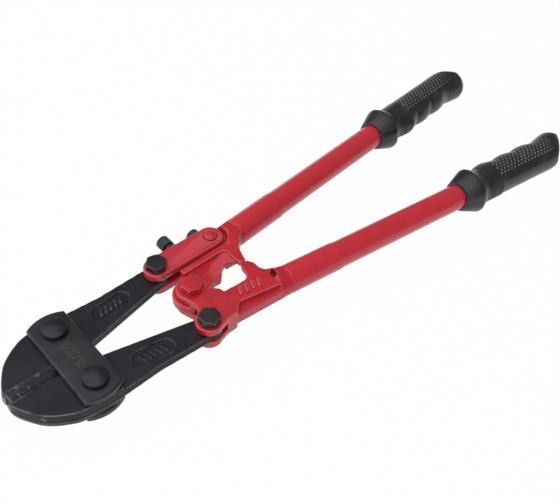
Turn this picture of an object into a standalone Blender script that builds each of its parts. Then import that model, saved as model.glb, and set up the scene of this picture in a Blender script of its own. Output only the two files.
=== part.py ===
"""Bolt cutters, 450 mm long, as an assembly of separate pieces in metres.

Frame: the origin lies under the middle of the tool, on the surface that the tool lies on.
+X runs towards the grips, +Y towards the handle that carries the adjusting link, +Z up.
The tool is shut: the blades meet on the plane y = 0. The sizes below count X from the
centre pivot, and centre_on_footprint moves the finished tool to its frame.
"""

import math

import bmesh
import bpy
from mathutils import Matrix, Vector

MM = 0.001

# Clearances
GAP = 0.3 * MM                     # between two pieces that touch or slide on each other

# Levels above and below the mid-plane of the tool
REST_HEIGHT = 16.5 * MM            # mid-plane above the surface that the tool lies on
HUB_HALF = 5.0 * MM                # half thickness of a jaw at its blade and hub
TAIL_HALF = 2.9 * MM               # half thickness of a jaw's tail
PLATE_THICK = 5.0 * MM
CHEEK_THICK = 5.0 * MM             # each fork cheek of the lower casting
LINK_CHEEK_THICK = 5.5 * MM
RIDGE_HALF = 6.3 * MM              # half height of the stiffening ridge of the upper casting
SEAT_HALF = 9.0 * MM               # half height of the upper casting at its socket

# Pivots
JAW_PIVOT_X = -83.0 * MM
JAW_PIVOT_Y = 21.3 * MM
TAIL_PIVOT_X = -7.1 * MM
TAIL_PIVOT_Y = 27.0 * MM
LINK_PIVOT_X = 36.8 * MM
LINK_PIVOT_Y = 28.0 * MM

# Jaws
NOSE_X = -127.0 * MM               # tip of the blades
BLADE_REAR_X = -97.0 * MM          # rear end of the cutting edge
BEVEL_WIDTH = 4.4 * MM             # width of the bevel beside the cutting edge
BEVEL_RUNOUT = 0.5 * MM            # the bevel ends this far behind the cutting edge
EDGE_LAND = 0.4 * MM               # half height of the flat left on the cutting edge
TAIL_RADIUS = 7.8 * MM
CROTCH_X = -88.0 * MM              # front end of the V between the jaws
CROTCH_Y = 1.3 * MM
ARM_INNER_Y = 18.0 * MM            # inner side of an arm where it meets its round tail
ARM_STEP_X = -72.5 * MM            # the arm is thinner than the hub behind this line

# Head plates
PLATE_FRONT_X = -96.1 * MM
PLATE_REAR_X = -71.0 * MM
PLATE_CORNER_Y = 30.8 * MM
PLATE_ARCH = 3.6 * MM              # rise of each arched end over its corners
PLATE_EDGE = 0.8 * MM

# Fasteners
PIVOT_SHANK = 5.0 * MM             # radii
PIVOT_HEAD = 7.7 * MM
PIVOT_HEAD_HIGH = 4.0 * MM
HEX_SHANK = 4.0 * MM
HEX_FLATS = 13.0 * MM              # across flats
HEX_HIGH = 5.3 * MM
PIVOT_NUT_FLATS = 15.0 * MM
PIVOT_NUT_HIGH = 4.6 * MM
RIVET_SHANK = 2.8 * MM
RIVET_HEAD = 5.0 * MM
RIVET_HIGH = 2.6 * MM
BOLT_STAND = 0.6 * MM              # a bolt's end stands out this far under the lower cheek
CENTRE_PLAY = 3.4 * MM             # radial room for the centre bolt in the upper casting's tongue

# Adjusting link and its screws
LINK_RADIUS = 8.4 * MM
LINK_WEB_FRONT_X = 4.0 * MM
LINK_WEB_THICK = 3.8 * MM
SCREW_SHANK = 2.9 * MM
ADJUSTER_X = 13.5 * MM
LOCKING_X = 33.0 * MM
KNOB_RADIUS = 4.7 * MM
KNOB_HIGH = 7.6 * MM
LOCKING_KNOB_HIGH = 6.4 * MM
ADJUSTER_KNOB_Y = 42.4 * MM        # underside of the adjusting screw's knob
LOCK_NUT_HIGH = 3.6 * MM
LOCK_NUT_FLATS = 10.0 * MM

# Handle castings
TONGUE_RADIUS = 12.0 * MM
CENTRE_EAR = 9.8 * MM
TAIL_EAR = 8.8 * MM
STOP_Y = -3.0 * MM                 # face of the lower casting's stop
SPIGOT_LENGTH = 36.0 * MM
SHELF_FLOOR = 4.6 * MM             # half heights of the recesses in the lower casting
NOTCH_FLOOR = 5.2 * MM
SEAT_ROOM = 3.2 * MM               # room round the end of the link

# Handles: a tube on a line through the datum, at a slant to +X
DATUM_X = 56.0 * MM
DATUM_Y = 26.5 * MM
SLANT = math.radians(6.3)
SWAGED_RADIUS = 9.65 * MM          # front of the tube, opened out over the spigot
TUBE_RADIUS = 9.15 * MM
TUBE_WALL = 1.6 * MM
NECK_AT = SPIGOT_LENGTH + 3.5 * MM  # distances from the datum along the tube
GRIP_FRONT_AT = 155.0 * MM
GRIP_END_AT = 268.7 * MM

# Grips
COLLAR_RADIUS = 16.5 * MM
COLLAR_BEVEL = 7.5 * MM
COLLAR_FLAT = 8.0 * MM
COLLAR_BACK = 4.5 * MM
GRIP_RADIUS = 12.6 * MM
GRIP_FLARE = 13.4 * MM
FINGER_BUMPS = 3
BUMP_PITCH = 20.0 * MM
BUMP_RISE = 2.2 * MM
POMMEL_RISE = 2.6 * MM             # the inner side swells at the end of the grip
POMMEL_LENGTH = 24.0 * MM
END_SLANT = 14.0 * MM              # the outer side of the end lies this far back
END_SLANT_LENGTH = 30.0 * MM
END_TAPER = 0.16                   # share of the radius that the outer side loses at the end
RING_STEP = 3.4 * MM               # length of one band of a grip's body
GRIP_END_WALL = 21.0 * MM          # solid rubber behind the end of the tube

STEPS = 32                         # sides of a large round piece

JAW_STEEL = ("blackened_steel", (0.032, 0.033, 0.036), 0.42, 0.85)
PLATE_STEEL = ("plate_steel", (0.045, 0.043, 0.043), 0.48, 0.8)
BOLT_STEEL = ("bolt_steel", (0.035, 0.038, 0.04), 0.36, 0.85)
RED_PAINT = ("red_paint", (0.50, 0.035, 0.055), 0.38, 0.0)
TUBE_PAINT = ("tube_paint", (0.48, 0.028, 0.05), 0.34, 0.0)
GRIP_RUBBER = ("grip_rubber", (0.035, 0.037, 0.042), 0.6, 0.0)


def clear_scene():
    """Start from an empty scene."""
    for thing in list(bpy.data.objects):
        bpy.data.objects.remove(thing, do_unlink=True)


def make_collection(name):
    """Return a new collection linked to the scene."""
    group = bpy.data.collections.new(name)
    bpy.context.scene.collection.children.link(group)
    return group


clear_scene()
PARTS = make_collection("bolt_cutters")
CUTTERS = make_collection("cutters")


def material(finish):
    """Return the Principled material of a finish, made once."""
    name, colour, roughness, metallic = finish
    found = bpy.data.materials.get(name)
    if found:
        return found
    made = bpy.data.materials.new(name)
    made.use_nodes = True
    shader = made.node_tree.nodes["Principled BSDF"]
    shader.inputs["Base Color"].default_value = (*colour, 1.0)
    shader.inputs["Roughness"].default_value = roughness
    shader.inputs["Metallic"].default_value = metallic
    return made


# Outlines

def arc(centre, radius, start, end, steps):
    """Return points on an arc, with angles in degrees."""
    points = []
    for step in range(steps + 1):
        angle = math.radians(start + (end - start) * step / steps)
        points.append((centre[0] + radius * math.cos(angle), centre[1] + radius * math.sin(angle)))
    return points


def rounded(corners, steps=5):
    """Return a closed outline whose corners (x, y, radius) are rounded."""
    points = []
    count = len(corners)
    for index, (x, y, radius) in enumerate(corners):
        here = Vector((x, y))
        if radius <= 0.0:
            points.append((x, y))
            continue
        before = (Vector(corners[index - 1][:2]) - here).normalized()
        after = (Vector(corners[(index + 1) % count][:2]) - here).normalized()
        half = math.acos(max(-1.0, min(1.0, before.dot(after)))) / 2.0
        reach = radius / math.tan(half)
        centre = here + (before + after).normalized() * (radius / math.sin(half))
        first = here + before * reach - centre
        last = here + after * reach - centre
        turn = first.angle_signed(last)
        for step in range(steps + 1):
            spoke = first.copy()
            spoke.rotate(Matrix.Rotation(-turn * step / steps, 2))
            points.append(tuple(centre + spoke))
    return points


def mirrored(points):
    """Return an outline mirrored in the plane y = 0."""
    return [(x, -y) for x, y in reversed(points)]


def sided(points, side):
    """Return an outline drawn for the +Y side, on the side asked for."""
    return points if side > 0 else mirrored(points)


# Solids

def add_object(name, mesh, group):
    """Link a mesh as an object of a collection."""
    thing = bpy.data.objects.new(name, mesh)
    group.objects.link(thing)
    return thing


def as_cutter(thing):
    """Hide a shape that only cuts or joins another."""
    for group in list(thing.users_collection):
        group.objects.unlink(thing)
    CUTTERS.objects.link(thing)
    thing.hide_render = True
    thing.display_type = "WIRE"
    return thing


def plate(name, outline, low, high, shift=(0.0, 0.0)):
    """Make a flat solid from an outline, between two levels from the mid-plane."""
    curve = bpy.data.curves.new(name, "CURVE")
    curve.dimensions = "2D"
    curve.fill_mode = "BOTH"
    curve.extrude = (high - low) / 2.0
    spline = curve.splines.new("POLY")
    spline.points.add(len(outline) - 1)
    for point, (x, y) in zip(spline.points, outline):
        point.co = (x - shift[0], y - shift[1], 0.0, 1.0)
    spline.use_cyclic_u = True
    guide = add_object(name + "_outline", curve, PARTS)
    guide.location = (shift[0], shift[1], REST_HEIGHT + (low + high) / 2.0)
    bpy.context.view_layer.update()
    evaluated = guide.evaluated_get(bpy.context.evaluated_depsgraph_get())
    mesh = bpy.data.meshes.new_from_object(evaluated)
    weld(mesh)
    solid = add_object(name, mesh, PARTS)
    solid.matrix_world = guide.matrix_world
    bpy.data.objects.remove(guide, do_unlink=True)
    return solid


def weld(mesh):
    """Merge the loose caps of a converted curve."""
    shape = bmesh.new()
    shape.from_mesh(mesh)
    bmesh.ops.remove_doubles(shape, verts=shape.verts, dist=1e-6)
    bmesh.ops.recalc_face_normals(shape, faces=shape.faces)
    shape.to_mesh(mesh)
    shape.free()


def prism(name, radius, low, high, place, sides=STEPS, turn=0.0):
    """Make an upright cylinder or a hexagon between two levels from the mid-plane."""
    mesh = bpy.data.meshes.new(name)
    shape = bmesh.new()
    bmesh.ops.create_cone(shape, cap_ends=True, segments=sides, radius1=radius, radius2=radius,
                          depth=high - low, matrix=Matrix.Rotation(turn, 4, "Z"))
    shape.to_mesh(mesh)
    shape.free()
    thing = add_object(name, mesh, PARTS)
    thing.location = (place[0], place[1], REST_HEIGHT + (low + high) / 2.0)
    return thing


def turned(name, profile, steps=STEPS):
    """Make a turned solid about its own Z axis from (radius, height) pairs, top to bottom."""
    mesh = bpy.data.meshes.new(name)
    shape = bmesh.new()
    verts = [shape.verts.new((radius, 0.0, height)) for radius, height in profile]
    for first, second in zip(verts, verts[1:]):
        shape.edges.new((first, second))
    if profile[0][0] > 0.0:
        shape.edges.new((verts[-1], verts[0]))
    shape.to_mesh(mesh)
    shape.free()
    thing = add_object(name, mesh, PARTS)
    screw = thing.modifiers.new("turn", "SCREW")
    screw.axis = "Z"
    screw.steps = steps
    screw.render_steps = steps
    screw.use_merge_vertices = True
    screw.merge_threshold = 1e-6
    return thing


def combine(target, other, operation):
    """Cut or join a hidden shape with a piece."""
    as_cutter(other)
    boolean = target.modifiers.new(other.name, "BOOLEAN")
    boolean.operation = operation
    boolean.object = other
    boolean.solver = "EXACT"


def join(target, *others):
    """Fuse shapes into a piece."""
    for other in others:
        combine(target, other, "UNION")


def cut(target, *others):
    """Take shapes out of a piece."""
    for other in others:
        combine(target, other, "DIFFERENCE")


def bore(target, name, radius, place, low=-30 * MM, high=30 * MM):
    """Drill a vertical hole in a piece."""
    cut(target, prism(name, radius, low, high, place))


def finish(thing, look):
    """Give a piece its material and smooth shading with sharp edges."""
    thing.data.materials.clear()
    thing.data.materials.append(material(look))
    thing.data.shade_smooth()
    thing.data.set_sharp_from_angle(angle=math.radians(35))
    return thing


def hexagon(flats):
    """Return the corner radius of a hexagon from its width across flats."""
    return flats / math.sqrt(3.0)


# Jaws and head plates

def jaw_outline():
    """Return the outline of the +Y jaw, from its tip round the outside to its tail and back."""
    nose = [(NOSE_X, GAP / 2), (NOSE_X - 0.3 * MM, 3.5 * MM), (NOSE_X + 2.2 * MM, 10.0 * MM),
            (NOSE_X + 8.6 * MM, 20.0 * MM), (NOSE_X + 14.2 * MM, 25.2 * MM),
            (NOSE_X + 21.0 * MM, 29.4 * MM), (NOSE_X + 28.5 * MM, 32.4 * MM)]
    back = [(JAW_PIVOT_X, 34.2 * MM), (JAW_PIVOT_X + 13 * MM, 33.7 * MM),
            (JAW_PIVOT_X + 36 * MM, 32.6 * MM)]
    tail = arc((TAIL_PIVOT_X, TAIL_PIVOT_Y), TAIL_RADIUS, 125, -80, 12)
    inner = [(TAIL_PIVOT_X - 3.0 * MM, ARM_INNER_Y), (CROTCH_X, CROTCH_Y),
             (BLADE_REAR_X, CROTCH_Y), (BLADE_REAR_X, GAP / 2)]
    return nose + back + tail + inner


def bevel_wedge(name, side, face):
    """Make the wedge that is ground away beside the cutting edge on one face of a blade."""
    mesh = bpy.data.meshes.new(name)
    shape = bmesh.new()
    rear = BLADE_REAR_X + BEVEL_RUNOUT
    front = NOSE_X - 5 * MM
    reach = 3 * MM
    fall = (HUB_HALF - EDGE_LAND) / BEVEL_WIDTH
    corners = [(-reach, EDGE_LAND - fall * reach), (BEVEL_WIDTH + reach, HUB_HALF + fall * reach),
               (-reach, HUB_HALF + fall * reach)]
    ends = []
    for x in (front, rear):
        ends.append([shape.verts.new((x, side * (y + GAP / 2), face * z)) for y, z in corners])
    shape.faces.new(ends[0])
    shape.faces.new(ends[1])
    for index in range(3):
        after = (index + 1) % 3
        shape.faces.new((ends[0][index], ends[0][after], ends[1][after], ends[1][index]))
    bmesh.ops.recalc_face_normals(shape, faces=shape.faces)
    shape.to_mesh(mesh)
    shape.free()
    thing = add_object(name, mesh, PARTS)
    thing.location = (0.0, 0.0, REST_HEIGHT)
    return thing


def make_jaw(name, side):
    """Make one jaw: blade, hub, thinner arm and round tail."""
    pivot = (JAW_PIVOT_X, side * JAW_PIVOT_Y)
    outline = sided(jaw_outline(), side)
    jaw = plate(name, outline, -HUB_HALF, HUB_HALF, pivot)
    over = 20 * MM
    rear = [(ARM_STEP_X, -60 * MM), (60 * MM, -60 * MM), (60 * MM, 60 * MM), (ARM_STEP_X, 60 * MM)]
    cut(jaw, plate(name + "_relief_top", rear, TAIL_HALF, TAIL_HALF + over),
        plate(name + "_relief_bottom", rear, -TAIL_HALF - over, -TAIL_HALF),
        bevel_wedge(name + "_bevel_top", side, 1), bevel_wedge(name + "_bevel_bottom", side, -1))
    bore(jaw, name + "_pivot_hole", PIVOT_SHANK + GAP, pivot)
    bore(jaw, name + "_tail_hole", HEX_SHANK + GAP, (TAIL_PIVOT_X, side * TAIL_PIVOT_Y))
    return finish(jaw, JAW_STEEL)


def plate_outline():
    """Return the outline of a head plate: four corners and two arched ends."""
    half = (PLATE_REAR_X - PLATE_FRONT_X) / 2.0
    centre_x = (PLATE_REAR_X + PLATE_FRONT_X) / 2.0
    radius = (half ** 2 + PLATE_ARCH ** 2) / (2.0 * PLATE_ARCH)
    spread = math.degrees(math.asin(half / radius))
    centre_y = PLATE_CORNER_Y + PLATE_ARCH - radius
    top = arc((centre_x, centre_y), radius, 90 + spread, 90 - spread, 10)
    return top + [(x, -y) for x, y in reversed(top)]


def make_head_plate(name, face):
    """Make one of the two plates that hold the jaws together."""
    near = HUB_HALF + GAP
    low, high = sorted((face * near, face * (near + PLATE_THICK)))
    thing = plate(name, plate_outline(), low, high)
    edges = thing.modifiers.new("soft_edges", "BEVEL")
    edges.width = PLATE_EDGE
    edges.segments = 2
    edges.limit_method = "ANGLE"
    for side, end in ((1, "upper"), (-1, "lower")):
        bore(thing, f"{name}_{end}_hole", PIVOT_SHANK + GAP, (JAW_PIVOT_X, side * JAW_PIVOT_Y))
    return finish(thing, PLATE_STEEL)


# Fasteners

def make_pivot_bolt(name, side):
    """Make a round-headed jaw pivot bolt, long enough to stand on the resting surface."""
    seat = HUB_HALF + 2 * GAP + PLATE_THICK
    dome = []
    rings = 5
    for ring in range(rings + 1):
        angle = math.radians(90.0 * ring / rings)
        dome.append((PIVOT_HEAD * math.sin(angle),
                     seat + 1.2 * MM + (PIVOT_HEAD_HIGH - 1.2 * MM) * math.cos(angle)))
    profile = dome + [(PIVOT_HEAD, seat), (PIVOT_SHANK, seat), (PIVOT_SHANK, -REST_HEIGHT),
                      (0.0, -REST_HEIGHT)]
    bolt = turned(name, profile)
    bolt.location = (JAW_PIVOT_X, side * JAW_PIVOT_Y, REST_HEIGHT)
    return finish(bolt, BOLT_STEEL)


def make_pivot_nut(name, side):
    """Make the hexagon nut of a jaw pivot bolt, under the rear plate."""
    place = (JAW_PIVOT_X, side * JAW_PIVOT_Y)
    top = -HUB_HALF - 2 * GAP - PLATE_THICK
    nut = prism(name, hexagon(PIVOT_NUT_FLATS), top - PIVOT_NUT_HIGH, top, place, 6)
    bore(nut, name + "_hole", PIVOT_SHANK + GAP, place)
    return finish(nut, BOLT_STEEL)


def make_hex_bolt(name, place, seat, look, turn):
    """Make a hexagon bolt whose head sits `seat` above the mid-plane, through both cheeks."""
    bolt = prism(name, HEX_SHANK, -seat - BOLT_STAND, seat + GAP + HEX_HIGH / 2, place)
    join(bolt, prism(name + "_head", hexagon(HEX_FLATS), seat + GAP, seat + GAP + HEX_HIGH,
                     place, 6, turn))
    return finish(bolt, look)


def make_rivet(name):
    """Make the domed rivet that carries the adjusting link on the upper casting."""
    half = link_face() + GAP
    rings = 4
    head = [(RIVET_HEAD * math.sin(math.radians(90.0 * ring / rings)),
             half + RIVET_HIGH * math.cos(math.radians(90.0 * ring / rings)))
            for ring in range(rings + 1)]
    profile = head + [(RIVET_SHANK, half), (RIVET_SHANK, -half)]
    profile += [(radius, -height) for radius, height in reversed(head)]
    rivet = turned(name, profile)
    rivet.location = (LINK_PIVOT_X, LINK_PIVOT_Y, REST_HEIGHT)
    return finish(rivet, RED_PAINT)


# Adjusting link

def link_outline():
    """Return the outline of the adjusting link: two round ends joined by straight sides."""
    left = arc((TAIL_PIVOT_X, TAIL_PIVOT_Y), LINK_RADIUS, 91, 269, 14)
    right = arc((LINK_PIVOT_X, LINK_PIVOT_Y), LINK_RADIUS, -89, 91, 14)
    return left + right


def link_face():
    """Return how far the outer face of the link stands from the mid-plane."""
    return TAIL_HALF + GAP + LINK_CHEEK_THICK


def link_side_y(x):
    """Return the y of the link's outer side, which runs from one round end to the other."""
    share = (x - TAIL_PIVOT_X) / (LINK_PIVOT_X - TAIL_PIVOT_X)
    return TAIL_PIVOT_Y + (LINK_PIVOT_Y - TAIL_PIVOT_Y) * share + LINK_RADIUS


def make_link(name):
    """Make the link: two cheeks joined by a web along the outer side."""
    inner = TAIL_HALF + GAP
    outline = link_outline()
    thing = plate(name, outline, inner, link_face())
    web_low = link_side_y(LINK_PIVOT_X) - LINK_WEB_THICK
    shy = 0.1 * MM
    web = [(LINK_WEB_FRONT_X, web_low), (LINK_PIVOT_X + 4.5 * MM, web_low),
           (LINK_PIVOT_X + 3.5 * MM, web_low + LINK_WEB_THICK - 0.9 * MM),
           (LINK_PIVOT_X, link_side_y(LINK_PIVOT_X) - shy),
           (LINK_WEB_FRONT_X, link_side_y(LINK_WEB_FRONT_X) - shy)]
    join(thing, plate(name + "_lower_cheek", outline, -link_face(), -inner),
         plate(name + "_web", web, -inner - MM, inner + MM))
    bore(thing, name + "_tail_hole", HEX_SHANK + GAP, (TAIL_PIVOT_X, TAIL_PIVOT_Y))
    bore(thing, name + "_rivet_hole", RIVET_SHANK + GAP, (LINK_PIVOT_X, LINK_PIVOT_Y))
    for label, x in (("adjuster", ADJUSTER_X), ("locking", LOCKING_X)):
        hole = prism(f"{name}_{label}_hole", SCREW_SHANK + GAP, -10 * MM, 10 * MM, (0, 0), 24)
        hole.location = (x, web_low + LINK_WEB_THICK / 2, REST_HEIGHT)
        hole.rotation_euler = (math.pi / 2, 0.0, 0.0)
        cut(thing, hole)
    return finish(thing, RED_PAINT)


def cross_turned(name, profile, x):
    """Make a turned piece whose axis runs along +Y through the link's web."""
    thing = turned(name, profile, 24)
    thing.location = (x, 0.0, REST_HEIGHT)
    thing.rotation_euler = (-math.pi / 2, 0.0, 0.0)
    return thing


def make_adjusting_screw(name):
    """Make the knurled screw that pushes the upper casting away from the link's web."""
    knob_top = ADJUSTER_KNOB_Y + KNOB_HIGH
    tip = adjuster_pad_y() + GAP
    screw = cross_turned(name, [
        (0.0, knob_top), (KNOB_RADIUS - MM, knob_top), (KNOB_RADIUS, knob_top - MM),
        (KNOB_RADIUS, ADJUSTER_KNOB_Y), (SCREW_SHANK, ADJUSTER_KNOB_Y),
        (SCREW_SHANK, tip + MM), (SCREW_SHANK - MM, tip), (0.0, tip)], ADJUSTER_X)
    return finish(screw, BOLT_STEEL)


def make_lock_nut(name):
    """Make the hexagon nut that locks the adjusting screw on the web."""
    low = link_side_y(ADJUSTER_X + LOCK_NUT_FLATS / 2) + GAP
    nut = prism(name, hexagon(LOCK_NUT_FLATS), -LOCK_NUT_HIGH / 2, LOCK_NUT_HIGH / 2, (0, 0), 6)
    nut.location = (ADJUSTER_X, low + LOCK_NUT_HIGH / 2, REST_HEIGHT)
    nut.rotation_euler = (math.pi / 2, 0.0, 0.0)
    hole = prism(name + "_hole", SCREW_SHANK + GAP, -20 * MM, 20 * MM, (0, 0), 24)
    hole.location = nut.location
    hole.rotation_euler = nut.rotation_euler
    cut(nut, hole)
    return finish(nut, BOLT_STEEL)


def make_locking_screw(name):
    """Make the knurled screw that holds the link once it is set."""
    low = link_side_y(LINK_PIVOT_X) + GAP
    high = low + LOCKING_KNOB_HIGH
    tip = eye_flat_y() + GAP
    screw = cross_turned(name, [
        (0.0, high), (KNOB_RADIUS - MM, high), (KNOB_RADIUS, high - MM), (KNOB_RADIUS, low),
        (SCREW_SHANK, low), (SCREW_SHANK, tip), (0.0, tip)], LOCKING_X)
    return finish(screw, BOLT_STEEL)


# Castings

def adjuster_pad_y():
    """Return the y of the pad on the upper casting that the adjusting screw bears on."""
    return LINK_PIVOT_Y - 4.3 * MM


def eye_flat_y():
    """Return the y of the flat top of the eye that carries the link's rivet."""
    return link_side_y(LINK_PIVOT_X) - LINK_WEB_THICK - GAP


def upper_tongue_outline():
    """Return the outline of the upper casting's middle layer: tongue, pad, eye and stop."""
    disc = arc((0.0, 0.0), TONGUE_RADIUS, -12, -262, 26)
    pad = adjuster_pad_y()
    eye = eye_flat_y()
    outer = [(4.5 * MM, 17.2 * MM), (ADJUSTER_X - 5 * MM, 18 * MM), (ADJUSTER_X - 4.5 * MM, pad),
             (ADJUSTER_X + 4.5 * MM, pad), (ADJUSTER_X + 5.5 * MM, 19 * MM),
             (LINK_PIVOT_X - 9.5 * MM, 20 * MM), (LINK_PIVOT_X - 8.2 * MM, eye - 2 * MM),
             (LINK_PIVOT_X - 6.5 * MM, eye), (48 * MM, eye), (51 * MM, 18 * MM)]
    inner = [(48.6 * MM, 14.6 * MM), (45.4 * MM, 9.8 * MM), (42.8 * MM, 2.4 * MM),
             (41.8 * MM, STOP_Y + 2 * GAP), (39.2 * MM, STOP_Y + 2 * GAP), (37.6 * MM, 2.6 * MM),
             (34.5 * MM, 4.6 * MM), (29.5 * MM, 4.6 * MM), (25.5 * MM, 1.4 * MM),
             (16.5 * MM, 0.4 * MM)]
    return disc + outer + inner


def socket_shape(name, side, back):
    """Make the round socket end and the spigot that the tube is pressed over."""
    spigot = SWAGED_RADIUS - TUBE_WALL - GAP
    profile = [(0.0, SPIGOT_LENGTH), (spigot - MM, SPIGOT_LENGTH), (spigot, SPIGOT_LENGTH - MM),
               (spigot, -GAP), (SWAGED_RADIUS, -GAP),
               (SWAGED_RADIUS, -back), (0.0, -back)]
    return along_handle(turned(name, profile), side)


def along_handle(thing, side):
    """Lay a turned piece along a handle, with its origin on the handle's datum."""
    thing.location = (DATUM_X, side * DATUM_Y, REST_HEIGHT)
    thing.rotation_euler = (0.0, math.pi / 2, side * SLANT)
    return thing


def seam_point(side, across):
    """Return a point just inside a casting's end face, `across` the tube's axis towards +Y."""
    along = -2 * GAP
    x = DATUM_X + along * math.cos(SLANT) - side * across * math.sin(SLANT)
    y = side * DATUM_Y + side * along * math.sin(SLANT) + across * math.cos(SLANT)
    return (x, y)


def ramped(ridge):
    """Let the two faces of the ridge climb towards the seat."""
    front = 4 * MM
    climb = (SEAT_HALF - 0.2 * MM - RIDGE_HALF) / (LINK_PIVOT_X - front)
    for vertex in ridge.data.vertices:
        rise = climb * min(LINK_PIVOT_X - front, max(0.0, vertex.co.x - front))
        vertex.co.z += math.copysign(rise, vertex.co.z)
    return ridge


def make_upper_casting(name):
    """Make the upper handle casting: tongue, ridge, seat for the link, stop and socket."""
    thing = plate(name, upper_tongue_outline(), -TAIL_HALF, TAIL_HALF)
    ridge = rounded([(3.8 * MM, 17.4 * MM, 1.2 * MM), (3.8 * MM, 13.2 * MM, 1.2 * MM),
                     (38.5 * MM, 13.3 * MM, 2.5 * MM), (38.4 * MM, STOP_Y + GAP, 0),
                     (42.6 * MM, STOP_Y + GAP, 0.8 * MM), (44.0 * MM, 2.0 * MM, 0),
                     (46.6 * MM, 9.3 * MM, 0), (50.6 * MM, 14.4 * MM, 0), (49.4 * MM, 17.4 * MM, 0)])
    top = seam_point(1, SWAGED_RADIUS - 0.4 * MM)
    bottom = seam_point(1, 0.6 * MM - SWAGED_RADIUS)
    seat_arc = arc((LINK_PIVOT_X, LINK_PIVOT_Y), LINK_RADIUS + SEAT_ROOM, 44, -62, 12)
    seat = seat_arc + [(42.5 * MM, 15.5 * MM), (50.0 * MM, 13.6 * MM), bottom, top,
                       (49 * MM, top[1])]
    join(thing, ramped(plate(name + "_ridge", ridge, -RIDGE_HALF, RIDGE_HALF)),
         plate(name + "_seat", seat, -SEAT_HALF, SEAT_HALF),
         socket_shape(name + "_socket", 1, 6 * MM))
    bore(thing, name + "_centre_hole", HEX_SHANK + CENTRE_PLAY, (0.0, 0.0))
    bore(thing, name + "_rivet_hole", RIVET_SHANK + GAP, (LINK_PIVOT_X, LINK_PIVOT_Y))
    return finish(thing, RED_PAINT)


def lower_cheek_outline():
    """Return the outline of the lower casting's cheeks, clockwise from the centre ear."""
    ear = arc((0.0, 0.0), CENTRE_EAR, 200, -35, 18)
    window = rounded([(10.2 * MM, -7.6 * MM, 0), (13.6 * MM, -11.2 * MM, 1.0 * MM),
                      (14.4 * MM, -14.8 * MM, 1.2 * MM),
                      (35.4 * MM, -15.0 * MM, 3.4 * MM), (36.6 * MM, -8.0 * MM, 2.0 * MM),
                      (37.4 * MM, STOP_Y, 0.6 * MM), (41.8 * MM, STOP_Y, 1.0 * MM),
                      (44.2 * MM, -7.2 * MM, 3.0 * MM), (44.4 * MM, -13.2 * MM, 4.0 * MM),
                      (46.4 * MM, -16.2 * MM, 2.0 * MM), (49.0 * MM, -17.4 * MM, 0)], 3)
    rear = [seam_point(-1, SWAGED_RADIUS - 2.2 * MM), seam_point(-1, MM - SWAGED_RADIUS)]
    outer = [(10.8 * MM, -32.4 * MM), (4.0 * MM, -32.6 * MM)]
    tail = arc((TAIL_PIVOT_X, -TAIL_PIVOT_Y), TAIL_EAR, -60, -215, 16)
    neck = [(-7.6 * MM, -17.0 * MM), (-6.2 * MM, -13.0 * MM)]
    return ear + window + rear + outer + tail + neck


def make_lower_casting(name):
    """Make the lower handle casting: a fork of two cheeks on a solid body with a socket."""
    face = TAIL_HALF + GAP + CHEEK_THICK
    thing = plate(name, lower_cheek_outline(), -face, face)
    layer = TAIL_HALF + GAP
    room = [(3.0 * MM, -60 * MM), (3.0 * MM, -28 * MM), (8.0 * MM, -12.0 * MM), (9 * MM, 60 * MM),
            (-60 * MM, 60 * MM), (-60 * MM, -60 * MM)]
    shelf = rounded([(16.2 * MM, -26.8 * MM, 1.0 * MM), (11.4 * MM, -50 * MM, 0),
                     (47.4 * MM, -50 * MM, 0), (45.6 * MM, -31.4 * MM, 1.0 * MM)])
    notch = rounded([(47.4 * MM, -10 * MM, 0), (46.7 * MM, -24.0 * MM, 1.6 * MM),
                     (50.4 * MM, -24.0 * MM, 1.6 * MM), (51.1 * MM, -10 * MM, 0)])
    cut(thing, plate(name + "_fork_slot", room, -layer, layer),
        prism(name + "_tongue_room", TONGUE_RADIUS + CENTRE_PLAY, -layer, layer, (0, 0)),
        plate(name + "_shelf_top", shelf, SHELF_FLOOR, 20 * MM),
        plate(name + "_shelf_bottom", shelf, -20 * MM, -SHELF_FLOOR),
        plate(name + "_notch_top", notch, NOTCH_FLOOR, 20 * MM),
        plate(name + "_notch_bottom", notch, -20 * MM, -NOTCH_FLOOR))
    join(thing, socket_shape(name + "_socket", -1, 6 * MM))
    bore(thing, name + "_centre_hole", HEX_SHANK + GAP, (0.0, 0.0))
    bore(thing, name + "_tail_hole", HEX_SHANK + GAP, (TAIL_PIVOT_X, -TAIL_PIVOT_Y))
    return finish(thing, RED_PAINT)


# Handles

def make_tube(name, side):
    """Make a handle tube, opened out at the front where it grips the spigot."""
    wall = TUBE_WALL
    step = 3 * MM
    end = GRIP_END_AT - GRIP_END_WALL - GAP
    profile = [(TUBE_RADIUS - wall, end), (TUBE_RADIUS, end),
               (TUBE_RADIUS, NECK_AT + step), (SWAGED_RADIUS, NECK_AT),
               (SWAGED_RADIUS, 0.0), (SWAGED_RADIUS - wall, 0.0),
               (SWAGED_RADIUS - wall, NECK_AT), (TUBE_RADIUS - wall, NECK_AT + step)]
    tube = along_handle(turned(name, profile), side)
    return finish(tube, TUBE_PAINT)


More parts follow.
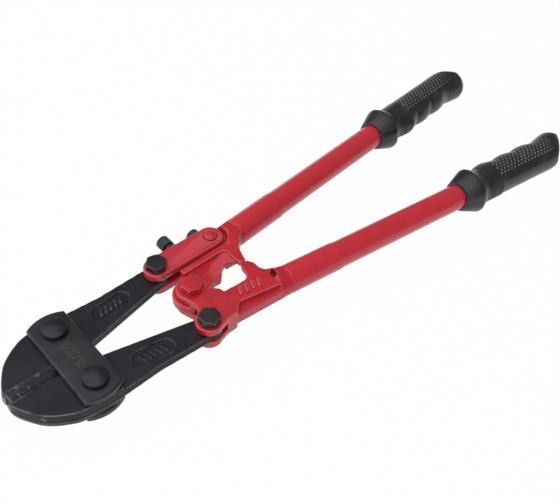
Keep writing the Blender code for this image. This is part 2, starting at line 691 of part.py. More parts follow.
def grip_profile():
    """Return the profile of a plain grip with its blind bore, far end first."""
    end = GRIP_END_AT
    front = GRIP_FRONT_AT
    lip = TUBE_RADIUS + GAP
    flat_front = front + COLLAR_BEVEL
    flat_back = flat_front + COLLAR_FLAT
    body = flat_back + COLLAR_BACK
    profile = [(0.0, end), (6.5 * MM, end - 0.3 * MM), (10.0 * MM, end - 1.8 * MM),
               (12.4 * MM, end - 4.6 * MM), (GRIP_FLARE, end - 8.5 * MM)]
    bands = round((end - 8.5 * MM - body) / RING_STEP)
    for band in range(1, bands + 1):
        share = band / bands
        swell = (GRIP_FLARE - GRIP_RADIUS) * max(0.0, 1.0 - 4.0 * share)
        profile.append((GRIP_RADIUS + swell, end - 8.5 * MM - share * (end - 8.5 * MM - body)))
    profile += [(COLLAR_RADIUS, flat_back), (COLLAR_RADIUS, flat_front), (lip + 2.6 * MM, front),
                (lip, front), (lip, end - GRIP_END_WALL), (0.0, end - GRIP_END_WALL)]
    return profile


def shape_grip(point, inward):
    """Move a point of a plain grip: finger swells, pommel and slanted end.

    `inward` is -1 or 1, the direction along the grip's own Y of the other handle.
    """
    radius = math.hypot(point.x, point.y)
    along = point.z
    if radius < TUBE_RADIUS + 2 * GAP and along < GRIP_END_AT - GRIP_END_WALL + GAP:
        return
    facing = inward * point.y / radius if radius > 1e-6 else 0.0
    first = GRIP_FRONT_AT + COLLAR_BEVEL + COLLAR_FLAT + COLLAR_BACK + 5 * MM
    rise = 0.0
    if first < along < first + FINGER_BUMPS * BUMP_PITCH:
        rise = BUMP_RISE * abs(math.sin(math.pi * (along - first) / BUMP_PITCH)) ** 0.8
    pommel = min(1.0, max(0.0, (along - GRIP_END_AT + POMMEL_LENGTH) / POMMEL_LENGTH))
    rise += POMMEL_RISE * math.sin(math.pi * min(1.0, 1.25 * pommel) / 2.0)
    late = min(1.0, max(0.0, (along - GRIP_END_AT + END_SLANT_LENGTH) / END_SLANT_LENGTH))
    outer = (1.0 - facing) / 2.0
    scale = 1.0 - END_TAPER * late ** 2 * outer
    if radius > 1e-6:
        scale += rise * max(0.0, facing) ** 1.5 / GRIP_RADIUS
    point.x *= scale
    point.y *= scale
    point.z = along - END_SLANT * late ** 2 * outer


def make_grip(name, side):
    """Make a moulded grip: flared collar, body with finger swells and a slanted blunt end."""
    plain = turned(name + "_plain", grip_profile())
    evaluated = plain.evaluated_get(bpy.context.evaluated_depsgraph_get())
    mesh = bpy.data.meshes.new_from_object(evaluated)
    bpy.data.objects.remove(plain, do_unlink=True)
    weld(mesh)
    for vertex in mesh.vertices:
        shape_grip(vertex.co, -side)
    grip = along_handle(add_object(name, mesh, PARTS), side)
    return finish(grip, GRIP_RUBBER)


def centre_on_footprint():
    """Move the whole tool so that the origin lies under the middle of its length."""
    bpy.context.view_layer.update()
    depsgraph = bpy.context.evaluated_depsgraph_get()
    reach = []
    for thing in PARTS.objects:
        solid = thing.evaluated_get(depsgraph)
        reach += [(solid.matrix_world @ vertex.co).x for vertex in solid.data.vertices]
    middle = (min(reach) + max(reach)) / 2.0
    for thing in list(PARTS.objects) + list(CUTTERS.objects):
        thing.location.x -= middle


def build():
    """Make every piece of the tool."""
    make_head_plate("front_jaw_plate", 1)
    make_head_plate("rear_jaw_plate", -1)
    for label, side in (("upper", 1), ("lower", -1)):
        make_jaw(f"{label}_jaw", side)
        make_pivot_bolt(f"{label}_pivot_bolt", side)
        make_pivot_nut(f"{label}_pivot_nut", side)
        make_tube(f"{label}_handle_tube", side)
        make_grip(f"{label}_grip", side)
    make_upper_casting("upper_handle_casting")
    make_lower_casting("lower_handle_casting")
    make_link("adjusting_link")
    make_rivet("link_rivet")
    make_adjusting_screw("adjusting_screw")
    make_lock_nut("adjusting_lock_nut")
    make_locking_screw("locking_screw")
    cheek = TAIL_HALF + GAP + CHEEK_THICK
    make_hex_bolt("upper_tail_bolt", (TAIL_PIVOT_X, TAIL_PIVOT_Y), link_face(), BOLT_STEEL, 0.3)
    make_hex_bolt("lower_tail_bolt", (TAIL_PIVOT_X, -TAIL_PIVOT_Y), cheek, BOLT_STEEL, 0.9)
    make_hex_bolt("centre_bolt", (0.0, 0.0), cheek, RED_PAINT, 0.2)
    centre_on_footprint()


build()
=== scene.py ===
"""Bolt cutters: the visible pieces and their finishes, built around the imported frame.

Every piece is modelled in millimetres about the centre pivot, at the height of the tool's
mid-plane, and is scaled and moved into the frame when it is handed over.
"""

from __future__ import annotations

import logging
import math
from dataclasses import dataclass, field, replace
from enum import Enum
from typing import Any, Callable, Iterable, Sequence

import bmesh
import bpy
from mathutils import Matrix, Vector

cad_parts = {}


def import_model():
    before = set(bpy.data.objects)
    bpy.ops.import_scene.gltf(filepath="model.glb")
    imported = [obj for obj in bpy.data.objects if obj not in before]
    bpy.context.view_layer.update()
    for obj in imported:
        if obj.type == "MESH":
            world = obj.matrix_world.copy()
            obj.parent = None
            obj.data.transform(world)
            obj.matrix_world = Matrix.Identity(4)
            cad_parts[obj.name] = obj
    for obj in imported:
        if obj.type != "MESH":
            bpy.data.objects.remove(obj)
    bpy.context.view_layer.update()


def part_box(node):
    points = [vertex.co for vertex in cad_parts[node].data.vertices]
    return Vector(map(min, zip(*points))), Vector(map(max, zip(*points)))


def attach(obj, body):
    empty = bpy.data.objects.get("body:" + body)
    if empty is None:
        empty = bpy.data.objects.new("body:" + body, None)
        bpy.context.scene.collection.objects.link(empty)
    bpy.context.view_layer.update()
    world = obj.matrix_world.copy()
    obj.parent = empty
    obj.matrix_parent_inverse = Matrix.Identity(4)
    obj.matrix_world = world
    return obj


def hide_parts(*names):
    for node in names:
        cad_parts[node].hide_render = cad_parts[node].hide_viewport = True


LOG = logging.getLogger("bolt_cutters")

# One millimetre in metres, and the clearance between two pieces in millimetres.
MM = 0.001
GAP = 0.3

# Reaches of cutters: past the ends of a piece, and right through its thickness.
FAR = 70.0
THROUGH = 30.0

# Sizes that several sub-assemblies keep to.
BLADE_HALF = 2.9
FORK_CHEEK = 5.0
LINK_RADIUS = 8.4
ADJUSTER_X = 13.5
SWAGED_RADIUS = 9.65
TUBE_WALL = 1.6

TINY = 1e-6
RIGHT = Vector((1.0, 0.0, 0.0))
BACK = Vector((0.0, 1.0, 0.0))
UP = Vector((0.0, 0.0, 1.0))

Point = tuple[float, float]
Outline = list[Point]
Triple = tuple[float, float, float]
Colour = Triple


class Side(Enum):
    """The two halves of the tool. The value is the sign of their Y."""

    UPPER = 1
    LOWER = -1

    @property
    def label(self) -> str:
        """Return the word that starts the names of this half's nodes."""
        return self.name.lower()


# Outlines


def clamp(value: float) -> float:
    """Return a value held between 0 and 1."""
    return min(1.0, max(0.0, value))


def arc(centre: Point, radius: float, start: float, end: float, steps: int) -> Outline:
    """Return points on an arc.

    Args:
        centre: Middle of the arc.
        radius: Radius of the arc.
        start: First angle in degrees.
        end: Last angle in degrees.
        steps: Number of chords.

    Returns:
        The points, first and last included.
    """
    points = []
    for step in range(steps + 1):
        angle = math.radians(start + (end - start) * step / steps)
        points.append((centre[0] + radius * math.cos(angle), centre[1] + radius * math.sin(angle)))
    return points


def flowing(points: Sequence[Point], steps: int = 5) -> Outline:
    """Return a smooth curve through a few points.

    Args:
        points: Points that the curve passes through.
        steps: Chords between two points.

    Returns:
        The points of the curve, ends included.
    """
    knots = [Vector(point) for point in points]
    knots = [knots[0] * 2 - knots[1]] + knots + [knots[-1] * 2 - knots[-2]]
    run = []
    for before, first, second, after in zip(knots, knots[1:], knots[2:], knots[3:]):
        for step in range(steps):
            t = step / steps
            spot = (first * 2 + (second - before) * t
                    + (before * 2 - first * 5 + second * 4 - after) * t * t
                    + (first * 3 - before - second * 3 + after) * t ** 3) / 2
            run.append((spot.x, spot.y))
    return run + [tuple(points[-1])]


def rounded(corners: Sequence[tuple[float, float, float]], steps: int = 6) -> Outline:
    """Return a closed outline with rounded corners.

    Args:
        corners: Each corner as x, y and radius.
        steps: Chords in each rounded corner.

    Returns:
        The points of the outline.
    """
    points = []
    for index, (x, y, radius) in enumerate(corners):
        if radius <= 0.0:
            points.append((x, y))
            continue
        here = Vector((x, y))
        before = (Vector(corners[index - 1][:2]) - here).normalized()
        after = (Vector(corners[(index + 1) % len(corners)][:2]) - here).normalized()
        half = math.acos(max(-1.0, min(1.0, before.dot(after)))) / 2.0
        centre = here + (before + after).normalized() * (radius / math.sin(half))
        first = here + before * (radius / math.tan(half)) - centre
        last = here + after * (radius / math.tan(half)) - centre
        turn = first.angle_signed(last)
        for step in range(steps + 1):
            spoke = first.copy()
            spoke.rotate(Matrix.Rotation(-turn * step / steps, 2))
            points.append(tuple(centre + spoke))
    return points


def obround(centre: Point, length: float, width: float, slant: float) -> Outline:
    """Return a slot shape with two round ends.

    Args:
        centre: Middle of the slot.
        length: Overall length.
        width: Overall width.
        slant: Angle of its length from +X, in degrees.

    Returns:
        The points of the outline.
    """
    reach = (length - width) / 2
    along = Vector((math.cos(math.radians(slant)), math.sin(math.radians(slant))))
    ends = [Vector(centre) + along * reach, Vector(centre) - along * reach]
    return (arc(tuple(ends[0]), width / 2, slant - 90, slant + 90, 14)
            + arc(tuple(ends[1]), width / 2, slant + 90, slant + 270, 14))


def on_side(points: Outline, side: Side) -> Outline:
    """Return an outline drawn for the upper half, on the half asked for."""
    return points if side is Side.UPPER else [(x, -y) for x, y in reversed(points)]


# Shapes


class Shape:
    """A closed shape in millimetres, worked with bmesh operators."""

    def __init__(self, mesh: bmesh.types.BMesh) -> None:
        """Keep the bmesh that is worked on."""
        self.mesh = mesh

    @classmethod
    def slab(cls, outline: Sequence[Point], low: float, high: float) -> Shape:
        """Extrude an outline.

        Args:
            outline: Closed outline.
            low: Height of the underside from the mid-plane.
            high: Height of the top.

        Returns:
            The flat shape.
        """
        mesh = bmesh.new()
        face = mesh.faces.new([mesh.verts.new((x, y, low)) for x, y in outline])
        made = bmesh.ops.extrude_face_region(mesh, geom=[face])["geom"]
        lifted = [part for part in made if isinstance(part, bmesh.types.BMVert)]
        bmesh.ops.translate(mesh, verts=lifted, vec=(0.0, 0.0, high - low))
        bmesh.ops.recalc_face_normals(mesh, faces=mesh.faces)
        return cls(mesh)

    @classmethod
    def swept(cls, section: Sequence[Point], near: float, far: float,
              directions: tuple[Vector, Vector, Vector]) -> Shape:
        """Sweep a section along a straight line.

        Args:
            section: Closed outline.
            near: Where the sweep starts.
            far: Where it ends.
            directions: Of the section's two numbers, and of the sweep.

        Returns:
            The swept shape.
        """
        solid = cls.slab(section, near, far)
        solid.transform(Matrix(directions).transposed().to_4x4())
        bmesh.ops.recalc_face_normals(solid.mesh, faces=solid.mesh.faces)
        return solid

    @classmethod
    def turned(cls, profile: Sequence[Point], steps: int = 64) -> Shape:
        """Turn a profile about the Z axis.

        Args:
            profile: Radius and height pairs. An open profile starts and ends on the axis.
            steps: Number of sides.

        Returns:
            The turned shape.
        """
        mesh = bmesh.new()
        verts = [mesh.verts.new((radius, 0.0, height)) for radius, height in profile]
        edges = [mesh.edges.new(pair) for pair in zip(verts, verts[1:])]
        if profile[0][0] > 0.0:
            edges.append(mesh.edges.new((verts[-1], verts[0])))
        bmesh.ops.spin(mesh, geom=verts + edges, cent=(0, 0, 0), axis=(0, 0, 1),
                       angle=2 * math.pi, steps=steps, use_merge=True)
        bmesh.ops.remove_doubles(mesh, verts=mesh.verts, dist=1e-4)
        bmesh.ops.recalc_face_normals(mesh, faces=mesh.faces)
        return cls(mesh)

    @classmethod
    def rod(cls, radius: float, low: float, high: float, place: Point = (0.0, 0.0),
            sides: int = 48, turn: float = 0.0) -> Shape:
        """Make an upright cylinder or prism.

        Args:
            radius: Radius at its corners.
            low: Height of the underside.
            high: Height of the top.
            place: Axis position.
            sides: Number of sides.
            turn: Rotation about its own axis in radians.

        Returns:
            The rod.
        """
        mesh = bmesh.new()
        seat = Matrix.Translation((place[0], place[1], (low + high) / 2))
        bmesh.ops.create_cone(mesh, cap_ends=True, segments=sides, radius1=radius,
                              radius2=radius, depth=high - low,
                              matrix=seat @ Matrix.Rotation(turn, 4, "Z"))
        return cls(mesh)

    def transform(self, matrix: Matrix) -> Shape:
        """Move, turn or scale the shape and return it."""
        bmesh.ops.transform(self.mesh, matrix=matrix, verts=self.mesh.verts)
        return self

    def soften(self, width: float, segments: int = 3, angle: float = 35.0,
               wanted: Callable[[bmesh.types.BMEdge], bool] | None = None) -> Shape:
        """Bevel the sharp edges.

        Args:
            width: Width of the bevel.
            segments: Facets of each bevel.
            angle: Edges that turn by more than this, in degrees, are sharp.
            wanted: Picks among the sharp edges. All are taken if it is left out.

        Returns:
            The same shape.
        """
        limit = math.radians(angle)
        edges = [edge for edge in self.mesh.edges
                 if edge.is_manifold and edge.calc_face_angle(0.0) > limit
                 and (wanted is None or wanted(edge))]
        bmesh.ops.bevel(self.mesh, geom=edges, offset=width, offset_type="OFFSET",
                        segments=segments, profile=0.5, affect="EDGES", clamp_overlap=True,
                        material=-1)
        return self

    def beside(self, *others: Shape) -> Shape:
        """Add other closed shapes as they are, without a cut.

        Args:
            others: The shapes, which are used up.

        Returns:
            This shape.
        """
        for other in others:
            spare = bpy.data.meshes.new("spare")
            other.mesh.to_mesh(spare)
            other.mesh.free()
            self.mesh.from_mesh(spare)
            bpy.data.meshes.remove(spare)
        return self

    def fused(self, *others: Shape) -> Shape:
        """Return this shape joined with others."""
        return self._combined(others, "UNION")

    def cut(self, *others: Shape) -> Shape:
        """Return this shape with others taken out."""
        return self._combined(others, "DIFFERENCE")

    def within(self, other: Shape) -> Shape:
        """Return what this shape and another share."""
        return self._combined([other], "INTERSECT")

    def forged(self, grain: float, passes: int) -> Shape:
        """Return the shape with the soft edges and fillets of forged metal.

        Args:
            grain: Size of one face of the new surface.
            passes: How often the surface is evened out.

        Returns:
            The forged shape.
        """
        def dress(thing: bpy.types.Object) -> None:
            """Add the modifiers that round a shape like a forging.

            Args:
                thing: Object that holds the shape.
            """
            remesh = thing.modifiers.new("forge", "REMESH")
            remesh.mode = "VOXEL"
            remesh.voxel_size = grain
            smooth = thing.modifiers.new("even", "SMOOTH")
            smooth.factor = 0.5
            smooth.iterations = passes
        return self._worked(dress)

    def _combined(self, others: Iterable[Shape], operation: str) -> Shape:
        """Combine this shape with each other shape in turn.

        Args:
            others: The other shapes, which are used up.
            operation: Name of the Boolean operation.

        Returns:
            The combined shape.
        """
        tools = [other.as_object("tool") for other in others]

        def dress(thing: bpy.types.Object) -> None:
            """Add one Boolean modifier for each tool.

            Args:
                thing: Object that holds the shape.
            """
            for tool in tools:
                boolean = thing.modifiers.new("boolean", "BOOLEAN")
                boolean.operation = operation
                boolean.object = tool
                boolean.solver = "EXACT"
        result = self._worked(dress)
        for tool in tools:
            discard(tool)
        return result

    def _worked(self, dress: Callable[[bpy.types.Object], None]) -> Shape:
        """Apply modifiers.

        Args:
            dress: Adds the modifiers to the object that it is given.

        Returns:
            The shape after them.
        """
        thing = self.as_object("work")
        dress(thing)
        bpy.context.view_layer.update()
        evaluated = thing.evaluated_get(bpy.context.evaluated_depsgraph_get())
        result = bmesh.new()
        spare = bpy.data.meshes.new_from_object(evaluated)
        result.from_mesh(spare)
        bpy.data.meshes.remove(spare)
        discard(thing)
        return Shape(result)

    def as_object(self, name: str) -> bpy.types.Object:
        """Put the shape into a new object and use it up.

        Args:
            name: Name of the object.

        Returns:
            The object, linked to the scene.
        """
        data = bpy.data.meshes.new(name)
        self.mesh.to_mesh(data)
        self.mesh.free()
        thing = bpy.data.objects.new(name, data)
        bpy.context.scene.collection.objects.link(thing)
        return thing


def discard(thing: bpy.types.Object) -> None:
    """Remove a helper object and its mesh.

    Args:
        thing: The object.
    """
    data = thing.data
    bpy.data.objects.remove(thing)
    bpy.data.meshes.remove(data)


def hexagon(flats: float, low: float, high: float, turn: float, both: bool = False) -> Shape:
    """Return a hexagon head or nut with its corners chamfered.

    Args:
        flats: Width across flats.
        low: Height of the underside.
        high: Height of the top.
        turn: Rotation in radians.
        both: Chamfer the underside too.

    Returns:
        The chamfered hexagon.
    """
    corner = flats / math.sqrt(3.0)
    crown = flats / 2 * 0.94
    slope = math.tan(math.radians(30.0))
    fall = (corner - crown) * slope
    over = 1.0
    wide = corner + over
    extra = over * slope
    under = [(wide, low + fall + extra), (crown, low), (0.0, low)] if both else [
        (wide, low - over), (0.0, low - over)]
    envelope = Shape.turned([(0.0, high), (crown, high), (wide, high - fall - extra)] + under, 72)
    return Shape.rod(corner, low, high, (0.0, 0.0), 6, turn).within(envelope).soften(0.25, 2, 40.0)


# Materials


class Signal:
    """A number socket that Python operators work on, in one node tree."""

    def __init__(self, graph: Graph, socket: bpy.types.NodeSocket) -> None:
        """Keep the socket and the graph that it belongs to."""
        self.graph = graph
        self.socket = socket

    def _math(self, operation: str, *values: Signal | float) -> Signal:
        """Add a Math node.

        Args:
            operation: Its operation.
            values: Its inputs in order.

        Returns:
            Its result.
        """
        node = self.graph.node("ShaderNodeMath", {"operation": operation},
                               dict(enumerate(values)))
        return Signal(self.graph, node.outputs[0])

    def __add__(self, other: Signal | float) -> Signal:
        """Return self + other."""
        return self._math("ADD", self, other)

    def __radd__(self, other: float) -> Signal:
        """Return other + self."""
        return self._math("ADD", other, self)

    def __sub__(self, other: Signal | float) -> Signal:
        """Return self - other."""
        return self._math("SUBTRACT", self, other)

    def __rsub__(self, other: float) -> Signal:
        """Return other - self."""
        return self._math("SUBTRACT", other, self)

    def __mul__(self, other: Signal | float) -> Signal:
        """Return self * other."""
        return self._math("MULTIPLY", self, other)

    def __rmul__(self, other: float) -> Signal:
        """Return other * self."""
        return self._math("MULTIPLY", other, self)

    def __truediv__(self, other: Signal | float) -> Signal:
        """Return self / other."""
        return self._math("DIVIDE", self, other)

    def __rtruediv__(self, other: float) -> Signal:
        """Return other / self."""
        return self._math("DIVIDE", other, self)

    def __abs__(self) -> Signal:
        """Return the size of self."""
        return self._math("ABSOLUTE", self)

    def ramp(self, start: float, end: float) -> Signal:
        """Map the signal to a smooth step.

        Args:
            start: Value up to which the result is 0.
            end: Value from which it is 1.

        Returns:
            The step.
        """
        node = self.graph.node("ShaderNodeMapRange", {"interpolation_type": "SMOOTHSTEP"},
                               {"Value": self, "From Min": start, "From Max": end})
        return Signal(self.graph, node.outputs[0])

    def wave(self, period: float) -> Signal:
        """Return a triangle wave of self, from 0 to 1, with this period."""
        return self._math("PINGPONG", self / (period / 2), 1.0)


class Graph:
    """A node tree that nodes are added to."""

    def __init__(self, tree: bpy.types.NodeTree) -> None:
        """Keep the tree."""
        self.tree = tree

    def supply(self, socket: bpy.types.NodeSocket, value: Any) -> None:
        """Link an input to a signal or a socket, or set it to a constant.

        Args:
            socket: The input.
            value: What it is given.
        """
        source = value.socket if isinstance(value, Signal) else value
        if isinstance(source, bpy.types.NodeSocket):
            self.tree.links.new(source, socket)
        else:
            socket.default_value = source

    def node(self, kind: str, settings: dict[str, Any] | None = None,
             inputs: dict[str | int, Any] | None = None) -> bpy.types.Node:
        """Add a node.

        Args:
            kind: Blender's type name.
            settings: Its properties, set first.
            inputs: Values, signals or sockets of its inputs, by name or number.

        Returns:
            The node.
        """
        made = self.tree.nodes.new(kind)
        for key, value in (settings or {}).items():
            setattr(made, key, value)
        for key, value in (inputs or {}).items():
            self.supply(made.inputs[key], value)
        return made

    def rays(self, *kinds: str) -> list[Signal]:
        """Return a signal for each kind of ray, 1 on that kind and 0 on the others."""
        path = self.node("ShaderNodeLightPath")
        return [Signal(self, path.outputs[f"Is {kind} Ray"]) for kind in kinds]


class Recipe(Graph):
    """The node tree of one material, with one Principled shader."""

    def __init__(self, name: str) -> None:
        """Start a material.

        Args:
            name: Name of the material.
        """
        self.material = bpy.data.materials.new(name)
        self.material.use_nodes = True
        super().__init__(self.material.node_tree)
        self.shader = self.tree.nodes["Principled BSDF"]
        coordinates = self.node("ShaderNodeTexCoord")
        scaled = self.node("ShaderNodeVectorMath", {"operation": "SCALE"},
                           {"Vector": coordinates.outputs["Object"], "Scale": 1 / MM})
        self.place = scaled.outputs[0]

    def axis(self, name: str) -> Signal:
        """Return the X, Y or Z of the place on the piece, in millimetres."""
        node = self.node("ShaderNodeSeparateXYZ", None, {0: self.place})
        return Signal(self, node.outputs[name])

    def noise(self, size: float, detail: float = 3.0, stretch: Triple = (1, 1, 1),
              roughness: float = 0.55) -> Signal:
        """Return a noise from 0 to 1.

        Args:
            size: Size of its lumps in millimetres.
            detail: Octaves.
            stretch: How much longer the lumps are along each axis.
            roughness: Share of the fine octaves.

        Returns:
            The noise value.
        """
        shrink = self.node("ShaderNodeMapping", None,
                           {"Vector": self.place, "Scale": tuple(1 / (size * s) for s in stretch)})
        made = self.node("ShaderNodeTexNoise", None,
                         {"Vector": shrink.outputs[0], "Scale": 1.0, "Detail": detail,
                          "Roughness": roughness})
        return Signal(self, made.outputs[0])

    def edges(self) -> Signal:
        """Return how far the surface bends outwards, about 0.5 where it is flat."""
        return Signal(self, self.node("ShaderNodeNewGeometry").outputs["Pointiness"])

    def blend(self, share: Signal | float, first: Any, second: Any) -> bpy.types.NodeSocket:
        """Return a colour between two.

        Args:
            share: 0 for the first colour and 1 for the second.
            first: Colour or socket.
            second: Colour or socket.

        Returns:
            The colour socket.
        """
        def four(colour: Any) -> Any:
            """Return a constant colour with its alpha, and a socket as it is."""
            return (*colour, 1.0) if isinstance(colour, tuple) else colour
        node = self.node("ShaderNodeMix", {"data_type": "RGBA", "clamp_factor": True},
                         {0: share, 6: four(first), 7: four(second)})
        return node.outputs[2]

    def feed(self, **inputs: Any) -> None:
        """Set or link the shader's inputs, with _ for a space in their names."""
        for key, value in inputs.items():
            self.supply(self.shader.inputs[key.replace("_", " ")], value)

    def bump(self, height: Signal, depth: float) -> None:
        """Raise the surface by a height from 0 to 1.

        Args:
            height: The height signal.
            depth: Real depth in millimetres of a height of 1.
        """
        node = self.node("ShaderNodeBump", None,
                         {"Strength": 1.0, "Distance": depth * MM, "Height": height})
        self.feed(Normal=node.outputs[0])


@dataclass(frozen=True)
class BlackenedSteel:
    """Forged or pressed steel with a black oxide skin."""

    name: str
    slot: str
    colour: Colour
    pale: Colour
    # Edge colour, with its mask range below: real edge wear and painted edge highlight together.
    edge: Colour
    roughness: float
    metallic: float = 0.6
    grain: float = 0.7
    depth: float = 0.035
    wear_and_highlight_range: tuple[float, float] = (0.53, 0.64)

    def mix(self) -> tuple[Recipe, bpy.types.NodeSocket, Signal]:
        """Start the recipe.

        Returns:
            The recipe, its colour and its roughness, for further marks.
        """
        recipe = Recipe(self.name)
        cloud = recipe.noise(14.0, 4.0)
        fine = recipe.noise(self.grain, 3.0)
        # Convex edges take the edge colour: partly real wear, partly painted highlight.
        wear_and_highlight = recipe.edges().ramp(*self.wear_and_highlight_range) * recipe.noise(5.0).ramp(0.22, 0.6)
        colour = recipe.blend(cloud.ramp(0.3, 0.75), self.colour, self.pale)
        colour = recipe.blend(wear_and_highlight, colour, self.edge)
        roughness = cloud * 0.16 + fine * 0.12 - wear_and_highlight * 0.12 + (self.roughness - 0.12)
        recipe.bump(fine + recipe.noise(self.grain * 5, 2.0) * 1.5, self.depth)
        recipe.feed(Metallic=self.metallic, Specular_IOR_Level=0.35)
        return recipe, colour, roughness

    def material(self) -> bpy.types.Material:
        """Make the material.

        Returns:
            The finished material.
        """
        recipe, colour, roughness = self.mix()
        recipe.feed(Base_Color=colour, Roughness=roughness)
        return recipe.material


@dataclass(frozen=True)
class JawSteel(BlackenedSteel):
    """Blackened forging whose cutting bevels are ground bright and scratched."""

    # A wider edge mask than plain steel: more edge wear and painted highlight along the jaws.
    wear_and_highlight_range: tuple[float, float] = (0.508, 0.56)
    tip: tuple[float, float] = (-125.0, -100.0)
    tip_share: float = 0.075
    ground: Colour = (0.085, 0.09, 0.1)
    bright: Colour = (0.5, 0.52, 0.55)
    bevel_half: float = 4.7
    bevel_rear_x: float = -95.6
    centre_x: float = 0.0

    def material(self) -> bpy.types.Material:
        """Make the material, with its ground bevels.

        Returns:
            The finished material.
        """
        recipe, colour, roughness = self.mix()
        across = abs(recipe.axis("Y"))
        along = recipe.axis("X") - self.centre_x
        bevel = (1 - across.ramp(self.bevel_half - 0.3, self.bevel_half)) * (
            1 - along.ramp(self.bevel_rear_x - 0.5, self.bevel_rear_x))
        strokes = recipe.noise(1.3, 5.0, (1.0, 2.2, 2.2), 0.75)
        patches = recipe.noise(2.8, 5.0, (1.0, 1.7, 1.7), 0.8)
        tip = (1 - along.ramp(*self.tip)) * self.tip_share
        scratch = (patches * 0.62 + strokes * 0.38 + tip).ramp(0.55, 0.64)
        colour = recipe.blend(bevel * (0.35 + strokes * 0.9), colour, self.ground)
        colour = recipe.blend(bevel * scratch * 0.6, colour, self.bright)
        recipe.feed(Base_Color=colour, Roughness=roughness - bevel * 0.06)
        return recipe.material


@dataclass(frozen=True)
class PlateSteel(BlackenedSteel):
    """Blackened plate with a faint row of printed strokes between its bolts."""

    print_colour: Colour = (0.115, 0.09, 0.055)
    print_half_x: float = 3.4
    print_half_y: float = 10.5
    print_x: float = -83.5
    pitch: float = 2.6
    centre_x: float = 0.0
    face_z: float = 26.0

    def material(self) -> bpy.types.Material:
        """Make the material, with its faint print.

        Returns:
            The finished material.
        """
        recipe, colour, roughness = self.mix()
        across = recipe.axis("X") - (self.centre_x + self.print_x)
        along = recipe.axis("Y")
        field_mask = (1 - abs(across).ramp(self.print_half_x - 0.4, self.print_half_x)) * (
            1 - abs(along).ramp(self.print_half_y - 0.4, self.print_half_y))
        drift = recipe.noise(3.5, 2.0) * 2.4
        stroke = (along + across * 0.35 + drift).wave(self.pitch).ramp(0.4, 0.65)
        band = 1 - ((across + drift) / 3.0).wave(1.1).ramp(0.8, 0.95) * 0.7
        face = recipe.axis("Z").ramp(self.face_z, self.face_z + 0.3)
        faded = recipe.noise(2.6, 4.0).ramp(0.36, 0.66)
        ink = field_mask * stroke * band * face * faded * 0.8
        recipe.feed(Base_Color=recipe.blend(ink, colour, self.print_colour), Roughness=roughness)
        return recipe.material


@dataclass(frozen=True)
class SatinPaint:
    """Satin paint on steel: a soft peel, painted shade in corners and a painted highlight on edges.
    """

    name: str
    slot: str
    colour: Colour
    # Deep colour: random tone in the clouds and painted shade in corners.
    deep_tone_and_shade: Colour
    # Pale colour: painted highlight on edges.
    pale: Colour
    roughness: float
    peel: float = 1.6
    depth: float = 0.03
    # Where the painted corner shade and the painted edge highlight start and end.
    corner: tuple[float, float] = (0.43, 0.4985)
    edge: tuple[float, float] = (0.509, 0.556)

    def material(self) -> bpy.types.Material:
        """Make the material.

        Returns:
            The finished material.
        """
        recipe = Recipe(self.name)
        cloud = recipe.noise(11.0, 3.0)
        peel = recipe.noise(self.peel, 2.0)
        bend = recipe.edges()
        colour = recipe.blend(cloud.ramp(0.35, 0.7) * 0.22, self.colour, self.deep_tone_and_shade)
        # Painted shade in concave corners and creases.
        colour = recipe.blend((1 - bend.ramp(*self.corner)) * 0.9, colour, self.deep_tone_and_shade)
        # Painted highlight on convex edges.
        colour = recipe.blend(bend.ramp(*self.edge) * 0.75, colour, self.pale)
        recipe.bump(peel + recipe.noise(0.35, 2.0) * 0.25, self.depth)
        recipe.feed(Base_Color=colour, Roughness=cloud * 0.12 + (self.roughness - 0.06),
                    Specular_IOR_Level=0.42, Coat_Weight=0.2, Coat_Roughness=0.16)
        return recipe.material


@dataclass(frozen=True)
class MouldedRubber:
    """Moulded rubber with a fine eroded skin and a slight bloom."""

    name: str
    slot: str
    colour: Colour
    bloom: Colour
    roughness: float
    skin: float = 0.45
    depth: float = 0.03

    def material(self) -> bpy.types.Material:
        """Make the material.

        Returns:
            The finished material.
        """
        recipe = Recipe(self.name)
        cloud = recipe.noise(9.0, 4.0)
        skin = recipe.noise(self.skin, 3.0)
        bend = recipe.edges()
        colour = recipe.blend(cloud.ramp(0.42, 0.8) * 0.6, self.colour, self.bloom)
        colour = recipe.blend(bend.ramp(0.53, 0.66) * 0.6, colour, self.bloom)
        recipe.bump(skin + recipe.noise(2.5, 2.0) * 0.8, self.depth)
        recipe.feed(Base_Color=colour, Roughness=cloud * 0.14 + skin * 0.1 + (self.roughness - 0.12),
                    Specular_IOR_Level=0.5)
        return recipe.material


# Layout


@dataclass(frozen=True)
class Layout:
    """Where the frame puts the centre pivot and the mid-plane, and the pivots about it."""

    centre: Vector
    jaw_pivot: Point
    tail_pivot: Point
    link_pivot: Point

    @classmethod
    def from_frame(cls) -> Layout:
        """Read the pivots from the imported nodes.

        Returns:
            The layout.
        """
        def middle(node: str) -> Vector:
            """Return the middle of a node's box."""
            low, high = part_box(node)
            return (low + high) / 2
        centre = middle("centre_bolt")
        centre.y = 0.0
        centre.z = middle("upper_handle_tube").z

        def from_centre(node: str) -> Point:
            """Return where a node stands from the centre pivot, in millimetres."""
            spot = (middle(node) - centre) / MM
            return (round(spot.x, 3), round(spot.y, 3))
        return cls(centre, from_centre("upper_pivot_bolt"), from_centre("upper_tail_bolt"),
                   from_centre("link_rivet"))

    @property
    def placing(self) -> Matrix:
        """Return the matrix from millimetres about the pivot to the frame."""
        return Matrix.Translation(self.centre) @ Matrix.Scale(MM, 4)


Finish = BlackenedSteel | SatinPaint | MouldedRubber


